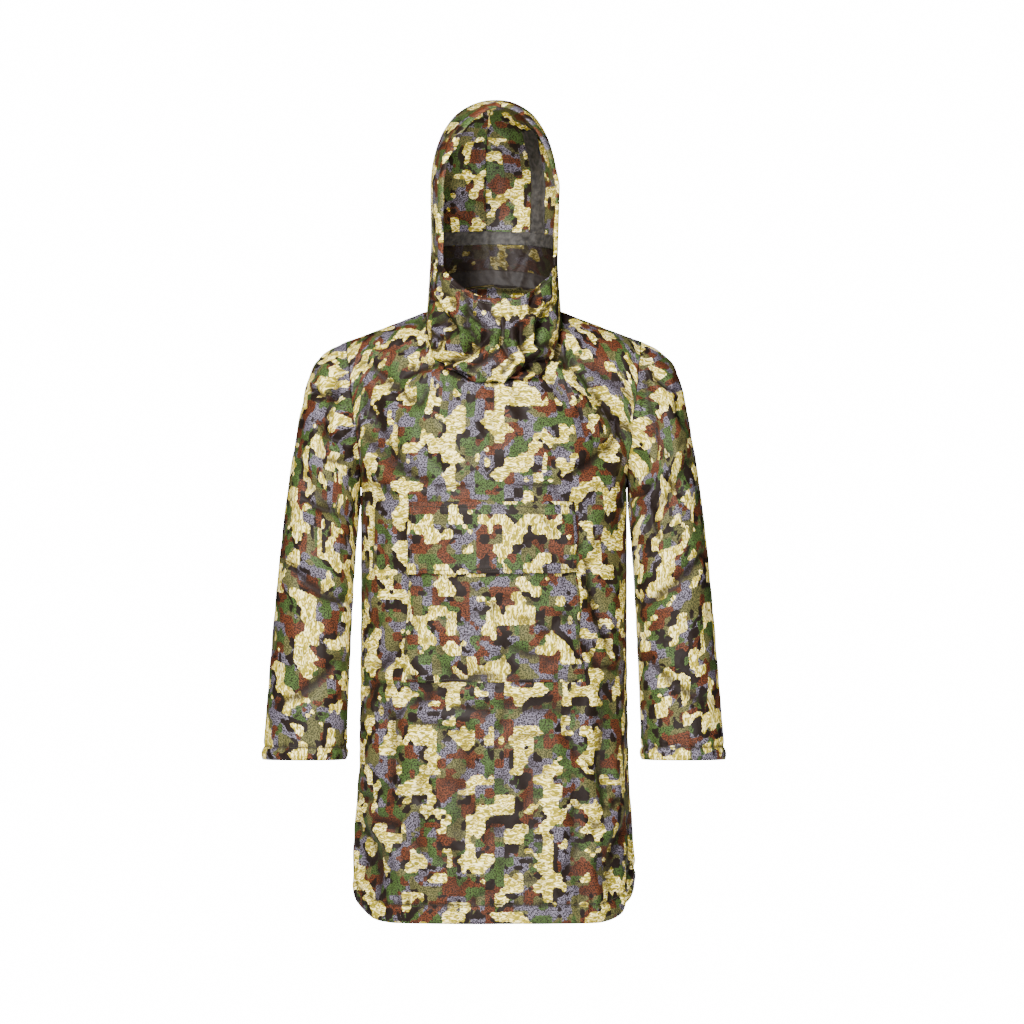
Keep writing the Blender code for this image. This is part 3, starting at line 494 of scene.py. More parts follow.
def panel_top(across, neck):
    """The upper edge: shoulder seam, neckline, shoulder seam."""
    neck_start = SHOULDER_COLUMNS / PANEL_COLUMNS
    half = np.minimum(across, 1.0 - across)
    t = np.clip(half / neck_start, 0.0, 1.0)
    tip, neck_side = np.array(SHOULDER_TIP), np.array(NECK_SIDE)
    shoulder = tip + (neck_side - tip) * t[..., None]
    angle = 0.5 * np.pi * np.clip((half - neck_start) / (0.5 - neck_start), 0.0, 1.0)
    c, s = squared_circle(angle, neck.power)
    neckline = points(
        neck_side[0] * c,
        neck_side[1] + (neck.depth - neck_side[1]) * s,
        neck_side[2] + (neck.z - neck_side[2]) * s,
    )
    edge = np.where((half < neck_start)[..., None], shoulder, neckline)
    edge[..., 0] *= np.where(across <= 0.5, 1.0, -1.0)
    return edge


def yoke(across, up, depth_name, neck, columns):
    """A panel above the armpits, facing +Y: each column is one cubic curve over the shoulder."""
    start = skirt(across, np.ones_like(across), depth_name)
    half = np.minimum(across, 1.0 - across)
    out_y, out_z, over_y, over_z = (read(columns, "across", name, half) for name in Column._fields[1:])
    leave, reach = points(0.0, out_y, out_z), points(0.0, -over_y, over_z)
    return cubic(up[..., None], start, leave, panel_top(across, neck), reach)


def panel(depth_name, neck, columns):
    across = np.linspace(0.0, 1.0, PANEL_COLUMNS + 1)
    lower = [skirt(across, np.full_like(across, j / SKIRT_ROWS), depth_name) for j in range(SKIRT_ROWS)]
    upper = [
        yoke(across, np.full_like(across, j / YOKE_ROWS), depth_name, neck, columns)
        for j in range(YOKE_ROWS + 1)
    ]
    return np.array(lower + upper)


def sleeve(side, opening):
    """The net of a sleeve, row by row from the armhole to the cuff."""
    angle = 2.0 * np.pi * np.arange(len(opening)) / len(opening)
    c, s = squared_circle(angle, SLEEVE_POWER)
    along = np.linspace(0.0, 1.0, SLEEVE_ROWS + 1)
    grid = []
    for row in along * SLEEVE_RINGS[-1].row:
        ring = Ring(row, *(read(SLEEVE_RINGS, "row", name, row) for name in Ring._fields[1:]))
        x = (ring.outer_x + ring.inner_x) / 2 + (ring.outer_x - ring.inner_x) / 2 * c
        z = (ring.outer_z + ring.inner_z) / 2 + (ring.outer_z - ring.inner_z) / 2 * c
        grid.append(points(side * x, ring.y - side * ring.half_depth * s, z))
    grid = np.array(grid)
    fit = (1.0 - smooth(along / SLEEVE_FIT))[:, None, None]
    grid = grid + fit * (opening - grid[0])
    grid[0] = opening
    return grid


def hood_plan(bearing, inward=0.0):
    """A point of the hood's plan outline: bearing 0 is the front, 90 the wearer's left."""
    s, c = squared_circle(np.radians(90.0 - bearing), HOOD_POWER)
    return (HOOD_HALF_WIDTH - inward) * s, HOOD_MIDDLE_Y - (HOOD_HALF_DEPTH - inward) * c


def neck_band(neckline):
    """The net of the neck band, slack in front, where it falls over the neckline as a cowl."""
    bearing = (np.arange(BAND_COLUMNS) - BAND_COLUMNS / 4) * 360.0 / BAND_COLUMNS
    size = np.abs((bearing + 180.0) % 360.0 - 180.0)
    x, y = hood_plan(bearing, read(BAND_TOP, "bearing", "draw_in", size))
    top = turned(points(x, y, read(BAND_TOP, "bearing", "z", size)), HOOD_TURN, HOOD_MIDDLE_Y)
    slack = COWL_FULLNESS * (1.0 - smooth(size / COWL_BEARING))
    outward = unit(points(top[:, 0], top[:, 1] - HOOD_MIDDLE_Y, 0 * size))
    rows = []
    for t in np.linspace(0.0, 1.0, COLLAR_ROWS + 1):
        belly = np.sin(np.pi * t**0.55) * (1.0 - 0.35 * t)
        row = neckline + (top - neckline) * t + outward * (slack * belly)[:, None]
        row[:, 2] -= COWL_SAG * slack * belly * (1.0 - t)
        rows.append(row)
    return np.array(rows)


def hood_half(side, seam):
    """The net of one half of the hood: up from the neck band, and over to the centre seam."""
    spans = len(seam) - 1
    bearing = side * (360.0 / BAND_COLUMNS) * (RIM_COLUMN + np.arange(spans + 1))
    along = np.linspace(0.0, 1.0, spans + 1)
    if side < 0:
        bearing, along = bearing[::-1], along[::-1]
    x, y = hood_plan(bearing)
    ridge_y, top, power, pull = (read(HOOD_RIDGE, "along", name, along) for name in Ridge._fields[1:])
    x, y = np.where(along == 1.0, 0.0, x), y + pull
    foot = turned(points(x, y, DOME_Z), HOOD_TURN, HOOD_MIDDLE_Y)
    rows = []
    for t in np.arange(HOOD_WALL_ROWS) / HOOD_WALL_ROWS:
        row = seam + (foot - seam) * t
        row[:, :2] += (foot - seam)[:, :2] * 0.5 * t * (1.0 - t)
        rows.append(row)
    for angle in 0.5 * np.pi * np.linspace(0.0, 1.0, HOOD_ROWS - HOOD_WALL_ROWS + 1):
        c, s = squared_circle(angle, power)
        row = points(x * c, ridge_y + (y - ridge_y) * c, DOME_Z + (top - DOME_Z) * s)
        rows.append(turned(row, HOOD_TURN, HOOD_MIDDLE_Y))
    return np.array(rows)


# --------------------------------------------------------------------------------- the net of the shell


class Piece:
    """One cut piece: its own grid of places in the welded net, and how far along the cloth each lies."""

    def __init__(self, name, grid, ring=False, cut=0):
        self.name = name
        self.base = np.roll(grid, -cut, axis=1) if ring else grid
        self.ring = ring
        self.ids = None

    def closed(self, net):
        """A net of the piece: on a ring, with its first column once more at the end."""
        return np.concatenate([net, net[:, :1]], axis=1) if self.ring else net

    def opened(self, values):
        """The values at the piece's own points: on a ring, without those of the closing column."""
        return values[:, :-1] if self.ring else values

    def flat(self):
        """Places on the flat cloth, in metres: across from the middle column, and up from the first row."""
        net = self.closed(self.base)
        across = run(net, 1)
        across -= across[:, [across.shape[1] // 2]]
        way = 1.0 if net[-1, :, 2].mean() > net[0, :, 2].mean() else -1.0
        return across, net[:1, :, 2] + way * run(net, 0)

    def from_edges(self):
        """Distances along the cloth from the first and last rows and columns."""
        across, up = self.flat()
        up = np.abs(up - up[:1])
        return up, up[-1:] - up, across - across[:, :1], across[:, -1:] - across

    def sewn(self):
        """Distance past the line of stitches along the free edge, and distance from the nearest seam."""
        first, last, left, right = self.from_edges()
        if self.name in ("front", "back"):
            return first - HEM_WIDTHS[self.name], np.minimum(np.minimum(left, right), last)
        if self.name.startswith("sleeve"):
            return last - HEM_WIDTHS[self.name], first
        if self.name == "collar":
            bearing = (np.arange(BAND_COLUMNS + 1) + 0.5 * BAND_COLUMNS) % BAND_COLUMNS * 360.0 / BAND_COLUMNS
            free = (np.abs((bearing + 180.0) % 360.0 - 180.0) < 360.0 * RIM_COLUMN / BAND_COLUMNS)[None]
            return np.where(free, last - BAND_HEM, FAR_OFF), np.minimum(first, np.where(free, FAR_OFF, last))
        rim, middle = (left, right) if self.name == "hood_left" else (right, left)
        return rim - HEM_WIDTHS["hood"], np.minimum(np.minimum(first, last), middle + CENTRE_SEAM_SUNK)


class Shell:
    """Every piece of the shell, as one net of points welded along the seams."""

    def __init__(self):
        front = panel("front_depth", FRONT_NECK, FRONT_COLUMNS) * np.array((-1.0, -1.0, 1.0))
        back = panel("back_depth", BACK_NECK, BACK_COLUMNS)
        pieces = [Piece("front", front), Piece("back", back)]
        upper = np.arange(SKIRT_ROWS + YOKE_ROWS, SKIRT_ROWS, -1)
        under = np.arange(SKIRT_ROWS, SKIRT_ROWS + YOKE_ROWS)
        for name, side, first, second in (("sleeve_left", 1, front, back), ("sleeve_right", -1, back, front)):
            opening = np.concatenate([first[upper, -1], second[under, 0]])
            pieces.append(Piece(name, sleeve(side, opening), ring=True, cut=YOKE_ROWS))
        neck = np.arange(SHOULDER_COLUMNS, PANEL_COLUMNS - SHOULDER_COLUMNS)
        collar = neck_band(np.concatenate([front[-1, neck], back[-1, neck]]))
        quarter = BAND_COLUMNS // 4
        pieces.append(Piece("collar", collar, ring=True, cut=3 * quarter))
        left = np.arange(quarter + RIM_COLUMN, 3 * quarter + 1)
        right = np.arange(3 * quarter, BAND_COLUMNS + quarter - RIM_COLUMN + 1)
        for name, side, columns in (("hood_left", 1, left), ("hood_right", -1, right)):
            pieces.append(Piece(name, hood_half(side, collar[-1, columns % BAND_COLUMNS])))
        self.pieces = {piece.name: piece for piece in pieces}
        self.weld()
        self.fold()
        self.settle()
        self.wrinkle()
        self.casing()
        self.hollow = self.hollows()

    def weld(self):
        """Makes one point of those that lie at the same place, to a micrometre."""
        every = np.concatenate([piece.base.reshape(-1, 3) for piece in self.pieces.values()])
        _, first, index = np.unique(
            np.round(every * 1e6).astype(np.int64), axis=0, return_index=True, return_inverse=True
        )
        self.points, index, start = every[first], index.reshape(-1), 0
        quads = []
        for piece in self.pieces.values():
            count = piece.base.shape[0] * piece.base.shape[1]
            piece.ids = index[start : start + count].reshape(piece.base.shape[:2])
            quads.append(cells(piece.closed(piece.ids)).reshape(-1, 4))
            start += count
        self.quads = np.concatenate(quads)
        edges = np.sort(np.concatenate([self.quads[:, [k, (k + 1) % 4]] for k in range(4)]), axis=1)
        self.edges = np.unique(edges[edges[:, 0] != edges[:, 1]], axis=0)

    def normals(self):
        """The outward direction at every point of the net."""
        a, b, c, d = (self.points[self.quads[:, k]] for k in range(4))
        across = np.cross(c - a, d - b)
        total = np.zeros_like(self.points)
        for axis in range(3):
            for k in range(4):
                total[:, axis] += np.bincount(self.quads[:, k], across[:, axis], len(total))
        return unit(total)

    def averaged(self, values, times):
        """Each point's value averaged with its neighbours', so many times."""
        if values.ndim > 1:
            return np.stack([self.averaged(column, times) for column in values.T], axis=-1)
        one, other = self.edges.T
        size = len(values)
        share = 1.0 + np.bincount(one, minlength=size) + np.bincount(other, minlength=size)
        for _ in range(times):
            total = values + np.bincount(one, values[other], size) + np.bincount(other, values[one], size)
            values = total / share
        return values

    def belongs(self, names, steps):
        """1 on the named pieces, falling softly to 0 over a few steps beyond their edges."""
        share = np.zeros(len(self.points))
        for name in names:
            share[self.pieces[name].ids] = 1.0
        return self.averaged(share, steps)

    def near(self, spot):
        """1 at a spot and at its mirror image, falling softly to 0 round it."""
        x, z = np.abs(self.points[:, 0]), self.points[:, 2]
        return np.exp(-(((x - spot.x) / spot.wide) ** 2) - ((z - spot.z) / spot.tall) ** 2)

    def fold(self):
        """Presses the main folds into the net, each from the face of the garment that it is listed for, and
        paints shade along its trough.
        """
        normals = self.normals()
        x, z = self.points[:, 0], self.points[:, 2]
        depth = np.zeros(len(self.points))
        self.pressed = np.zeros(len(self.points))
        for on, face, folds in FOLDS:
            facing = -normals[:, 1] if face == "front" else normals[:, 1]
            there = self.belongs(("front", "back") if on == "body" else (on,), FOLD_BLEND)
            for fold in folds:
                run_x, run_z = fold.x2 - fold.x1, fold.z2 - fold.z1
                length = np.linalg.norm((run_x, run_z))
                along = ((x - fold.x1) * run_x + (z - fold.z1) * run_z) / length**2
                aside = ((x - fold.x1) * run_z - (z - fold.z1) * run_x) / length
                held = np.clip(along, 0.0, 1.0)
                away = np.hypot(aside - fold.bow * np.sin(np.pi * held), (along - held) * length)
                taper = np.sin(np.pi * (FOLD_END + (1.0 - 2.0 * FOLD_END) * held)) ** FOLD_TAPER
                width = fold.width * (FOLD_END_WIDTH + FOLD_MIDDLE_WIDTH * taper)
                banks = FOLD_BANK * np.exp(-(((away - 2.0 * width) / width) ** 2))
                shown = taper * smooth(facing / FOLD_FACING) * there
                depth += fold.depth * (np.exp(-((away / width) ** 2)) - banks) * shown
                # A line of painted shade along the trough, paler for shallower folds
                core = np.exp(-((away / (CREASE_WIDTH * width)) ** 2)) * shown
                core = core * np.clip(fold.depth / FULL_CREASE, 0.0, 1.0)
                self.pressed = np.maximum(self.pressed, core)
        self.points = self.points - normals * depth[:, None]

    def settle(self):
        """Lets Blender's cloth solver crumple every second point of the net, and carries the rest along."""
        every = self.pieces.values()
        chosen = np.unique(np.concatenate([piece.ids[::2, ::2].ravel() for piece in every]))
        place = np.full(len(self.points), -1)
        place[chosen] = np.arange(len(chosen))
        nets = [piece.closed(place[piece.ids[::2, ::2]]) for piece in every]
        quads = np.concatenate([cells(net).reshape(-1, 4) for net in nets])
        mesh = bpy.data.meshes.new("settling")
        # A cell whose corners are welded together has fewer of them
        faces = [list(dict.fromkeys(quad)) for quad in quads.tolist()]
        mesh.from_pydata(self.points[chosen].tolist(), [], faces)
        cloth = put("settling", mesh)
        for name, share in (("held", self.firmness()[chosen]), ("snug", 1.0 - self.slack()[chosen])):
            group = cloth.vertex_groups.new(name=name)
            share = np.round(share, 2)
            for value in np.unique(share):
                group.add(np.flatnonzero(share == value).tolist(), float(value), "REPLACE")
        modifier = cloth.modifiers.new("settling", "CLOTH")
        settings = modifier.settings
        for name, value in SOLVER.items():
            setattr(settings, name, value)
        settings.vertex_group_mass = "held"
        settings.vertex_group_shrink = "snug"
        settings.effector_weights.gravity = 0.0
        modifier.collision_settings.use_collision = False
        modifier.point_cache.frame_end = SETTLE_FRAMES
        for frame_number in range(1, SETTLE_FRAMES + 1):
            bpy.context.scene.frame_set(frame_number)
        shown = cloth.evaluated_get(bpy.context.evaluated_depsgraph_get())
        ended = np.empty(len(chosen) * 3)
        shown.data.vertices.foreach_get("co", ended)
        bpy.context.scene.frame_set(1)
        bpy.data.objects.remove(cloth)
        moved = ended.reshape(-1, 3) - self.points[chosen]
        length = np.linalg.norm(moved, axis=1, keepdims=True)
        moved *= np.minimum(1.0, MOST_SETTLED / np.maximum(length, 1e-9))
        total, count = np.zeros_like(self.points), np.zeros(len(self.points))
        for piece, net in zip(every, nets):
            halves = (np.arange(size) / 2.0 for size in piece.ids.shape)
            full = sample(moved[net], *np.meshgrid(*halves, indexing="ij"))
            for axis in range(3):
                total[:, axis] += np.bincount(piece.ids.ravel(), full[..., axis].ravel(), len(total))
            count += np.bincount(piece.ids.ravel(), minlength=len(total))
        moved = self.averaged(total / count[:, None], 2)
        # The crumple is kept, and the slow swell under it mostly taken out
        moved = moved - SWELL_TAKEN * self.averaged(moved, SWELL_STEPS)
        # The outline seen from the front stays smoother than the cloth that faces forwards or back
        facing = OUTLINE_SHARE + (1.0 - OUTLINE_SHARE) * ramp(np.abs(self.normals()[:, 1]), *FACING)
        cowl = ramp(self.points[:, 1], *COWL_FRONT) * self.belongs(("collar",), BLEND_STEPS)
        share = self.averaged(np.maximum(facing, np.maximum(cowl, self.near(ARMPIT_GAP))), 3)
        self.points = self.points + moved * share[:, None]

    def firmness(self):
        """How firmly each point is held to its place as the cloth settles: seams and hems the most."""
        firm = np.full(len(self.points), HOLD)
        for name, piece in self.pieces.items():
            edge, seam = (piece.opened(far) for far in piece.sewn())
            reach = SLEEVE_REACH if name.startswith("sleeve") else SEAM_REACH
            tight = np.maximum(HEM_SHARE * (1.0 - smooth(edge / reach)), 1.0 - smooth(seam / SEAM_REACH))
            firm[piece.ids] = np.maximum(firm[piece.ids], HOLD + (SEAM_HOLD - HOLD) * tight)
        neck = self.pieces["collar"].ids
        firm[neck] = np.maximum(firm[neck], NAPE_HOLD * ramp(self.points[neck][..., 1], *NAPE_HELD))
        for name in ("hood_left", "hood_right"):
            hood = self.pieces[name].ids
            firm[hood] = np.maximum(firm[hood], HOOD_HOLD)
        return firm

    def slack(self):
        """How much of the greatest growth the cloth gets at each point: most in the cowl and the armholes."""
        x, y, z = self.points.T
        share = np.maximum(np.full(len(x), BODY_SLACK), ARMHOLE_SLACK * self.near(ARMHOLE))
        half_width, bottom, top = POCKET_ROUND
        pocket = (z > bottom) & (z < top) & (np.abs(x) < half_width) & (y < 0.0)
        share = np.where(pocket, POCKET_SLACK, share)
        cowl = self.pieces["collar"].ids[: int(COLLAR_ROWS * COWL_SHARE)]
        share[cowl] = LEAST_SLACK + (1.0 - LEAST_SLACK) * ramp(self.points[cowl][..., 1], *SLACK_FRONT)
        for name, piece in self.pieces.items():
            more = MORE_SLACK[name.split("_")[0]] * smooth(piece.opened(piece.sewn()[0]) / SLACK_REACH)
            share[piece.ids] *= LEAST_SLACK + more
        return self.averaged(share, BLEND_STEPS)

    def wrinkle(self):
        """Small uneven wrinkles all over, each a short soft trough or ridge."""
        chance = np.random.default_rng(7)
        normals = self.normals()
        lift = np.zeros(len(self.points))
        x, z = self.points[:, 0], self.points[:, 2]
        for _ in range(WRINKLES):
            middle = self.points[chance.integers(len(self.points))]
            way = chance.normal(0.0, WRINKLE_WAY) + np.pi / 2
            length = chance.uniform(*WRINKLE_LENGTHS)
            width = chance.uniform(*WRINKLE_WIDTHS)
            rise = chance.normal(0.0, 1.0) * WRINKLE_RISE
            face = 1.0 if middle[1] < 0.0 else -1.0
            dx, dz = x - middle[0], z - middle[2]
            along = dx * np.cos(way) + dz * np.sin(way)
            aside = -dx * np.sin(way) + dz * np.cos(way) + WRINKLE_BEND * along**2 * chance.normal(0.0, 1.0)
            close = np.exp(-((along / length) ** 2) - (aside / width) ** 2)
            lift += rise * close * smooth(-face * normals[:, 1] / WRINKLE_FACING)
        self.points = self.points + normals * lift[:, None]

    def casing(self):
        """The turned hems and the rim of the hood, a little fuller than the cloth beside them, drawn in along
        their stitches, and puckered."""
        normals = self.normals()
        lift = np.zeros(len(self.points))
        for name, piece in self.pieces.items():
            if name == "collar":
                continue
            rim = name.startswith("hood")
            edge, around = piece.opened(piece.sewn()[0]), piece.opened(piece.flat()[1 if rim else 0])
            inside = np.clip(-edge / HEM_WIDTHS["hood" if rim else name], 0.0, 1.0)
            full = CASING * (1.0 if rim else HEM_FULLNESS)
            full = full * np.sin(np.pi * inside) ** CASING_POWER * (inside > 0.0)
            dip = DIP * CASING * np.exp(-((edge / DIP_REACH) ** 2))
            waves = sum(np.sin(2.0 * np.pi * around / pitch + start) for pitch, start in PUCKERS)
            waves = waves / len(PUCKERS) * np.exp(-((edge / PUCKER_REACH) ** 2))
            lift[piece.ids] = full - dip + (0.0 if rim else PUCKER) * waves
        self.points = self.points + normals * lift[:, None]

    def hollows(self):
        """Painted shade: 1 deep in a crease and 0 on open cloth, outside and inside, from how far each point
        lies behind its neighbourhood. The inside of the nape, where little light reaches, is painted as dark
        as a crease."""
        normals = self.normals()
        inside = np.zeros(len(self.points))
        neck = np.unique(self.pieces["collar"].ids)
        _, y, z = self.points[neck].T
        # Painted shade over the inside of the nape, towards the back and below its top
        inside[neck] = ramp(y, *NAPE_PAINTED_SHADE) * ramp(z, *NAPE_TOP)
        hollows = [self.pressed, inside]
        cowl = self.belongs(("collar",), BLEND_STEPS)
        for (steps, deep), where in ((BROAD_HOLLOW, 1.0), (COWL_HOLLOW, cowl)):
            behind = ((self.averaged(self.points, steps) - self.points) * normals).sum(axis=1) * where / deep
            behind *= 1.0 - ARMHOLE_EASED * self.near(ARMHOLE_SEAM)
            shares = (OUTSIDE_HOLLOW, INSIDE_HOLLOW)
            hollows = [np.maximum(hollow, share * behind) for hollow, share in zip(hollows, shares)]
        return np.clip(np.stack(hollows, axis=-1), 0.0, 1.0)


# ------------------------------------------------------------------------------------------- materials

# A layer of the print: blots of a colour, with flecks of a second colour over a share of them. There are
# about so many blots to a metre, a higher cover leaves fewer, and the shift picks a place in the noise
Blot = namedtuple("Blot", "colour fleck fleck_share scale cover shift")
GROUND = ("olive", "olive_fleck", 0.50)
PRINT = (
    Blot("grey", "grey_fleck", 0.50, 24.5, 0.488, (3.1, 1.7, 0.0)),
    Blot("green", "green_fleck", 0.53, 28.0, 0.530, (1.3, 9.2, 0.0)),
    Blot("rust", "rust_fleck", 0.50, 31.0, 0.553, (7.9, 4.4, 0.0)),
    Blot("dark", "dark", 1.00, 37.5, 0.620, (5.5, 6.1, 0.0)),
)
CREAM_BLOTS = (26.5, 0.547, (2.2, 3.3, 0.0))
# Near-black edges of the cream blots: how many steps aside, and which patches of the cloth have them
Shade = namedtuple("Shade", "across up patch")
SHADES = (Shade(across=-1.0, up=1.0, patch=0.0), Shade(across=1.0, up=0.0, patch=4.0), Shade(0.0, 2.0, 8.0))
PRINT_SHIFT = {
    "front": (0.00, 0.00),
    "back": (1.37, 0.21),
    "sleeve_left": (2.61, 0.43),
    "sleeve_right": (3.93, 0.77),
    "collar": (4.83, 1.37),
    "hood_left": (6.29, 0.59),
    "hood_right": (7.57, 0.83),
    "pocket": (8.31, 0.57),
    "pocket_flap": (9.91, 0.67),
}


def linear(colour):
    """The linear colour of an sRGB hex value."""
    srgb = np.array([int(colour[i : i + 2], 16) / 255.0 for i in (0, 2, 4)])
    return (*np.where(srgb <= 0.04045, srgb / 12.92, ((srgb + 0.055) / 1.055) ** 2.4), 1.0)


def wire(node, *values, **named):
    """Fills a node's shown sockets in order, and named ones by name: each with a number, node or socket."""
    given = list(zip([socket for socket in node.inputs if socket.enabled], values))
    given += [(node.inputs[name.replace("_", " ")], value) for name, value in named.items()]
    for socket, value in given:
        if isinstance(value, bpy.types.Node):
            value = next(out for out in value.outputs if out.enabled)
        if isinstance(value, bpy.types.NodeSocket):
            node.id_data.links.new(value, socket)
        else:
            socket.default_value = value
    return node


def add(tree, kind, *values, **named):
    """A node, wired as wire() says. Names with a small first letter are settings, the others sockets."""
    node = tree.nodes.new("ShaderNode" + kind)
    for name in [name for name in named if name[0].islower()]:
        setattr(node, name, named.pop(name))
    return wire(node, *values, **named)


def new_material(name):
    made = bpy.data.materials.new(name)
    made.use_nodes = True
    return made, made.node_tree, made.node_tree.nodes["Principled BSDF"]


def stepped_blots():
    """A node group: 1 inside blots with stepped, rounded outlines, as a screen print from square dots has.
    Each blot's outline follows the noise of its cell and of the block of 2 by 2 cells round it."""
    tree = bpy.data.node_groups.new("stepped_blots", "ShaderNodeTree")
    for name, kind in (("Vector", "Vector"), ("Cell", "Float"), ("Scale", "Float"), ("Cover", "Float")):
        tree.interface.new_socket(name, in_out="INPUT", socket_type="NodeSocket" + kind)
    tree.interface.new_socket("Mask", in_out="OUTPUT", socket_type="NodeSocketFloat")
    given = tree.nodes.new("NodeGroupInput").outputs
    per_metre = add(tree, "Math", 1.0, given["Cell"], operation="DIVIDE")
    grid = add(tree, "VectorMath", given["Vector"], Scale=per_metre, operation="SCALE")
    corner = add(tree, "VectorMath", grid, operation="FLOOR")
    part = add(tree, "SeparateXYZ", add(tree, "VectorMath", grid, operation="FRACTION"))
    rows = []
    for dy in (0.0, 1.0):
        pair = []
        for dx in (0.0, 1.0):
            place = add(tree, "VectorMath", corner, (dx, dy, 0.0), operation="ADD")
            block = add(tree, "VectorMath", place, (2.0, 2.0, 1.0), operation="SNAP")
            height = 0.0
            for spot in (place, block):
                spot = add(tree, "VectorMath", spot, Scale=given["Cell"], operation="SCALE")
                noise = add(
                    tree, "TexNoise", Vector=spot, Scale=given["Scale"], Detail=2.0, Roughness=0.6,
                    noise_dimensions="2D",
                )
                height = add(tree, "Math", noise, 0.5, height, operation="MULTIPLY_ADD")
            pair.append(add(tree, "Math", height, given["Cover"], operation="GREATER_THAN"))
        rows.append(add(tree, "Mix", part.outputs[0], *pair))
    inside = add(tree, "Math", add(tree, "Mix", part.outputs[1], *rows), 0.5, operation="GREATER_THAN")
    tree.links.new(inside.outputs[0], tree.nodes.new("NodeGroupOutput").inputs["Mask"])
    return tree


def blots(tree, group, step, place, scale, cover, shift):
    """1 inside the blots of one layer of the print."""
    moved = add(tree, "VectorMath", place, shift, operation="ADD")
    return add(tree, "Group", node_tree=group, Vector=moved, Cell=step, Scale=scale, Cover=cover)


def ink(tree, fleck, colours, colour, flecks, share):
    """A layer's colour, with its flecks."""
    where = add(tree, "Math", fleck, share, operation="GREATER_THAN")
    return add(tree, "Mix", where, getattr(colours, colour), getattr(colours, flecks), data_type="RGBA")


def print_colour(tree, flat, colours):
    """The print: flecked blots, 27 to 41 mm wide and stepped, over olive, and cream ones on top with ochre
    and pale streaks along the weft."""
    group = stepped_blots()
    # Flecks of about 2 mm
    fleck = add(tree, "TexNoise", Vector=flat, Scale=450.0, Detail=1.0, Roughness=0.8, noise_dimensions="2D")
    # Ink edges that wander by about a millimetre
    wander = add(tree, "TexNoise", Vector=flat, Scale=260.0, Detail=1.0, noise_dimensions="2D")
    wander = add(tree, "VectorMath", wander.outputs["Color"], (0.5, 0.5, 0.5), operation="SUBTRACT")
    wander = add(tree, "VectorMath", wander, Scale=0.0034, operation="SCALE")
    inked = add(tree, "VectorMath", flat, wander, operation="ADD")
    colour = ink(tree, fleck, colours, *GROUND)
    for layer in PRINT:
        mask = blots(tree, group, colours.step, inked, *layer[3:])
        colour = add(tree, "Mix", mask, colour, ink(tree, fleck, colours, *layer[:3]), data_type="RGBA")
    # Shade along some edges of the cream blots, in patches of about 60 mm
    aside = inked
    for shade in SHADES:
        patches = add(tree, "VectorMath", flat, (shade.patch, shade.patch, 0.0), operation="ADD")
        patches = add(tree, "TexNoise", Vector=patches, Scale=16.0, Detail=0.0, noise_dimensions="2D")
        shown = add(tree, "Math", patches, 0.57, operation="GREATER_THAN")
        step = (shade.across * colours.step, shade.up * colours.step, 0.0)
        step = add(tree, "VectorMath", step, Scale=shown, operation="SCALE")
        aside = add(tree, "VectorMath", aside, step, operation="ADD")
    mask = blots(tree, group, colours.step, aside, *CREAM_BLOTS)
    colour = add(tree, "Mix", mask, colour, colours.dark, data_type="RGBA")
    # Streaks about 4 mm high and 10 mm long
    level = add(tree, "VectorMath", flat, (0.40, 1.0, 1.0), operation="MULTIPLY")
    streak = add(
        tree, "TexNoise", Vector=level, Scale=260.0, Detail=2.0, Roughness=0.60, Distortion=1.2,
        noise_dimensions="2D",
    )
    ochre = add(tree, "MapRange", streak, 0.47, 0.525, 0.0, 1.0)
    pale = add(tree, "MapRange", streak, 0.455, 0.415, 0.0, 1.0)
    cream = add(tree, "Mix", ochre, colours.cream, colours.ochre, data_type="RGBA")
    cream = add(tree, "Mix", pale, cream, colours.pale, data_type="RGBA")
    mask = blots(tree, group, colours.step, inked, *CREAM_BLOTS)
    return add(tree, "Mix", mask, colour, cream, data_type="RGBA")


